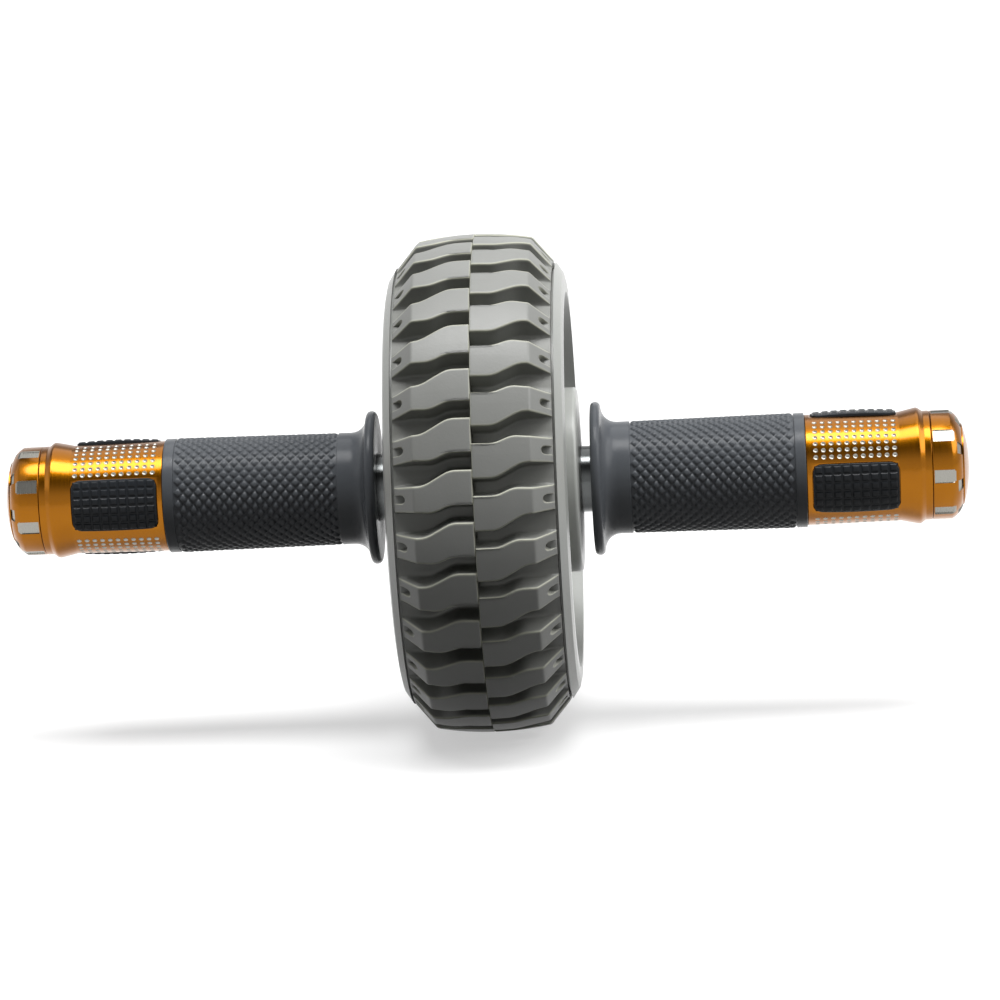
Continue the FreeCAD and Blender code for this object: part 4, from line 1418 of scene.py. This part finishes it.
@dataclass
class Studio:
    """White floor and backdrop, soft lamps and a camera placed as the photograph's was.

    The focal length and the wheel's place are in pixels. The floor's size and the camera's far
    end are in metres.
    """

    focal: float = 4521.0
    distance: float = 1500.0
    yaw: float = 2.95
    elevation: float = 10.04
    roll: float = 2.82
    wheel_pixel: tuple[float, float] = (486.2, 482.9)
    sensor: float = 36.0
    far_end: float = 100.0
    floor_drop: float = 82.5
    floor_size: float = 14.0
    floor_colour: str = "#fafafa"
    floor_bounce: str = "#303030"
    shadow_share: float = 0.5
    lamps: tuple[Lamp, ...] = (
        Lamp("right key light", 1.9, 77.0, 55.0, 26.0),
        Lamp("left key light", 1.65, 77.0, -55.0, 26.0),
        Lamp("back light", 0.7, 62.0, 170.0, 42.0),
        Lamp("right light", 2.4, 43.0, 84.0, 50.0),
        Lamp("left light", 0.6, 46.0, -84.0, 60.0),
    )
    sky: float = 0.03
    backdrop_full: float = 12.0
    backdrop_end: float = 58.0

    def build_camera(self) -> None:
        """Aims the camera so that the wheel's centre falls on its place in the photograph."""
        turn = (Matrix.Rotation(math.radians(self.yaw), 4, "Z")
                @ Matrix.Rotation(math.radians(90 - self.elevation), 4, "X")
                @ Matrix.Rotation(math.radians(-self.roll), 4, "Z"))
        across, down = ((IMAGE_SIZE / 2 - pixel) / self.focal * self.distance
                        for pixel in self.wheel_pixel)
        lens = bpy.data.cameras.new("camera")
        lens.sensor_width = self.sensor
        lens.lens = self.sensor * self.focal / IMAGE_SIZE
        lens.clip_end = self.far_end
        camera = bpy.data.objects.new("camera", lens)
        shift = Matrix.Translation(Vector((across, -down, self.distance)) * MM)
        camera.matrix_world = turn @ shift
        bpy.context.scene.collection.objects.link(camera)
        bpy.context.scene.camera = camera

    def build_floor(self) -> None:
        """Lays a white floor that keeps the shadow and throws little light up at the object."""
        half = self.floor_size / 2
        mesh = bpy.data.meshes.new("floor")
        corners = ((-half, -half), (half, -half), (half, half), (-half, half))
        mesh.from_pydata([(x, y, -self.floor_drop * MM) for x, y in corners], [], [(0, 1, 2, 3)])
        floor = bpy.data.objects.new("floor", mesh)
        bpy.context.scene.collection.objects.link(floor)
        finish = bpy.data.materials.new("white paper floor")
        finish.use_nodes = True
        tree = finish.node_tree
        tree.nodes.clear()
        shaded, dim = (
            add_node(tree, "ShaderNodeBsdfDiffuse", None, [linear(colour)]).outputs[0]
            for colour in (self.floor_colour, self.floor_bounce))
        white = add_node(tree, "ShaderNodeEmission", None, {"Strength": 1.0}).outputs[0]
        pale = add_node(tree, "ShaderNodeMixShader", None, [
            self.shadow_share, white, shaded]).outputs[0]
        mixed = add_node(tree, "ShaderNodeMixShader", None, [
            self.seen(tree), dim, pale]).outputs[0]
        add_node(tree, "ShaderNodeOutputMaterial", None, [mixed])
        mesh.materials.append(finish)

    def seen(self, tree: NodeTree) -> NodeSocket:
        """Picks out the rays that show the background.

        Args:
            tree: Node tree that gets the test.

        Returns:
            A socket that is 1 for rays to the camera, off a gloss or through glass, and else 0.
        """
        ray = add_node(tree, "ShaderNodeLightPath").outputs
        seen = ray["Is Camera Ray"]
        for other in ("Is Glossy Ray", "Is Transmission Ray"):
            seen = add_node(tree, "ShaderNodeMath", {"operation": "MAXIMUM"}, [
                seen, ray[other]]).outputs[0]
        return seen

    def build_light(self) -> None:
        """Hangs the lamps under a dim sky, with a white backdrop that fades out overhead."""
        for lamp in self.lamps:
            lamp.hang()
        world = bpy.data.worlds.new("studio")
        world.use_nodes = True
        tree = world.node_tree
        way = add_node(tree, "ShaderNodeTexCoord").outputs["Generated"]
        height = add_node(tree, "ShaderNodeSeparateXYZ", None, [way]).outputs["Z"]
        white = add_node(tree, "ShaderNodeMapRange", {"interpolation_type": "SMOOTHSTEP"}, {
            0: height, 1: math.sin(math.radians(self.backdrop_full)),
            2: math.sin(math.radians(self.backdrop_end)), 3: 1.0, 4: self.sky}).outputs[0]
        level = add_node(tree, "ShaderNodeMix", {"data_type": "FLOAT"}, {
            0: self.seen(tree), 2: self.sky, 3: white}).outputs[0]
        background = tree.nodes["Background"].inputs
        background["Color"].default_value = linear("#ffffff")
        tree.links.new(level, background["Strength"])
        bpy.context.scene.world = world

    def build(self) -> None:
        """Builds the camera, the floor and the light."""
        bpy.context.scene.view_settings.view_transform = "Standard"
        self.build_camera()
        self.build_floor()
        self.build_light()


def main() -> None:
    """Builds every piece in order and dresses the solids."""
    logging.basicConfig(level=logging.INFO, format="%(name)s: %(message)s")
    Studio().build()
    dress_solids()
    TyreHalf(Side.LEFT, seam_phase=5.1).build()
    TyreHalf(Side.RIGHT, seam_phase=18.6).build()
    for side, pad_angle, dot_offset, notch_angle in (
        (Side.LEFT, 2.0, 4.5, 25.0), (Side.RIGHT, -12.5, -3.0, 42.0),
    ):
        sleeve = GripSleeve(side)
        sleeve.build_sleeve()
        sleeve.build_knurl()
        body = EndBody(side, pad_angle, dot_offset)
        body.build_skin()
        body.build_dots()
        pads = GripPads(side, pad_angle)
        pads.build_pads()
        pads.build_pyramids()
        EndCap(side, notch_angle).build()


if __name__ == "__main__":
    main()
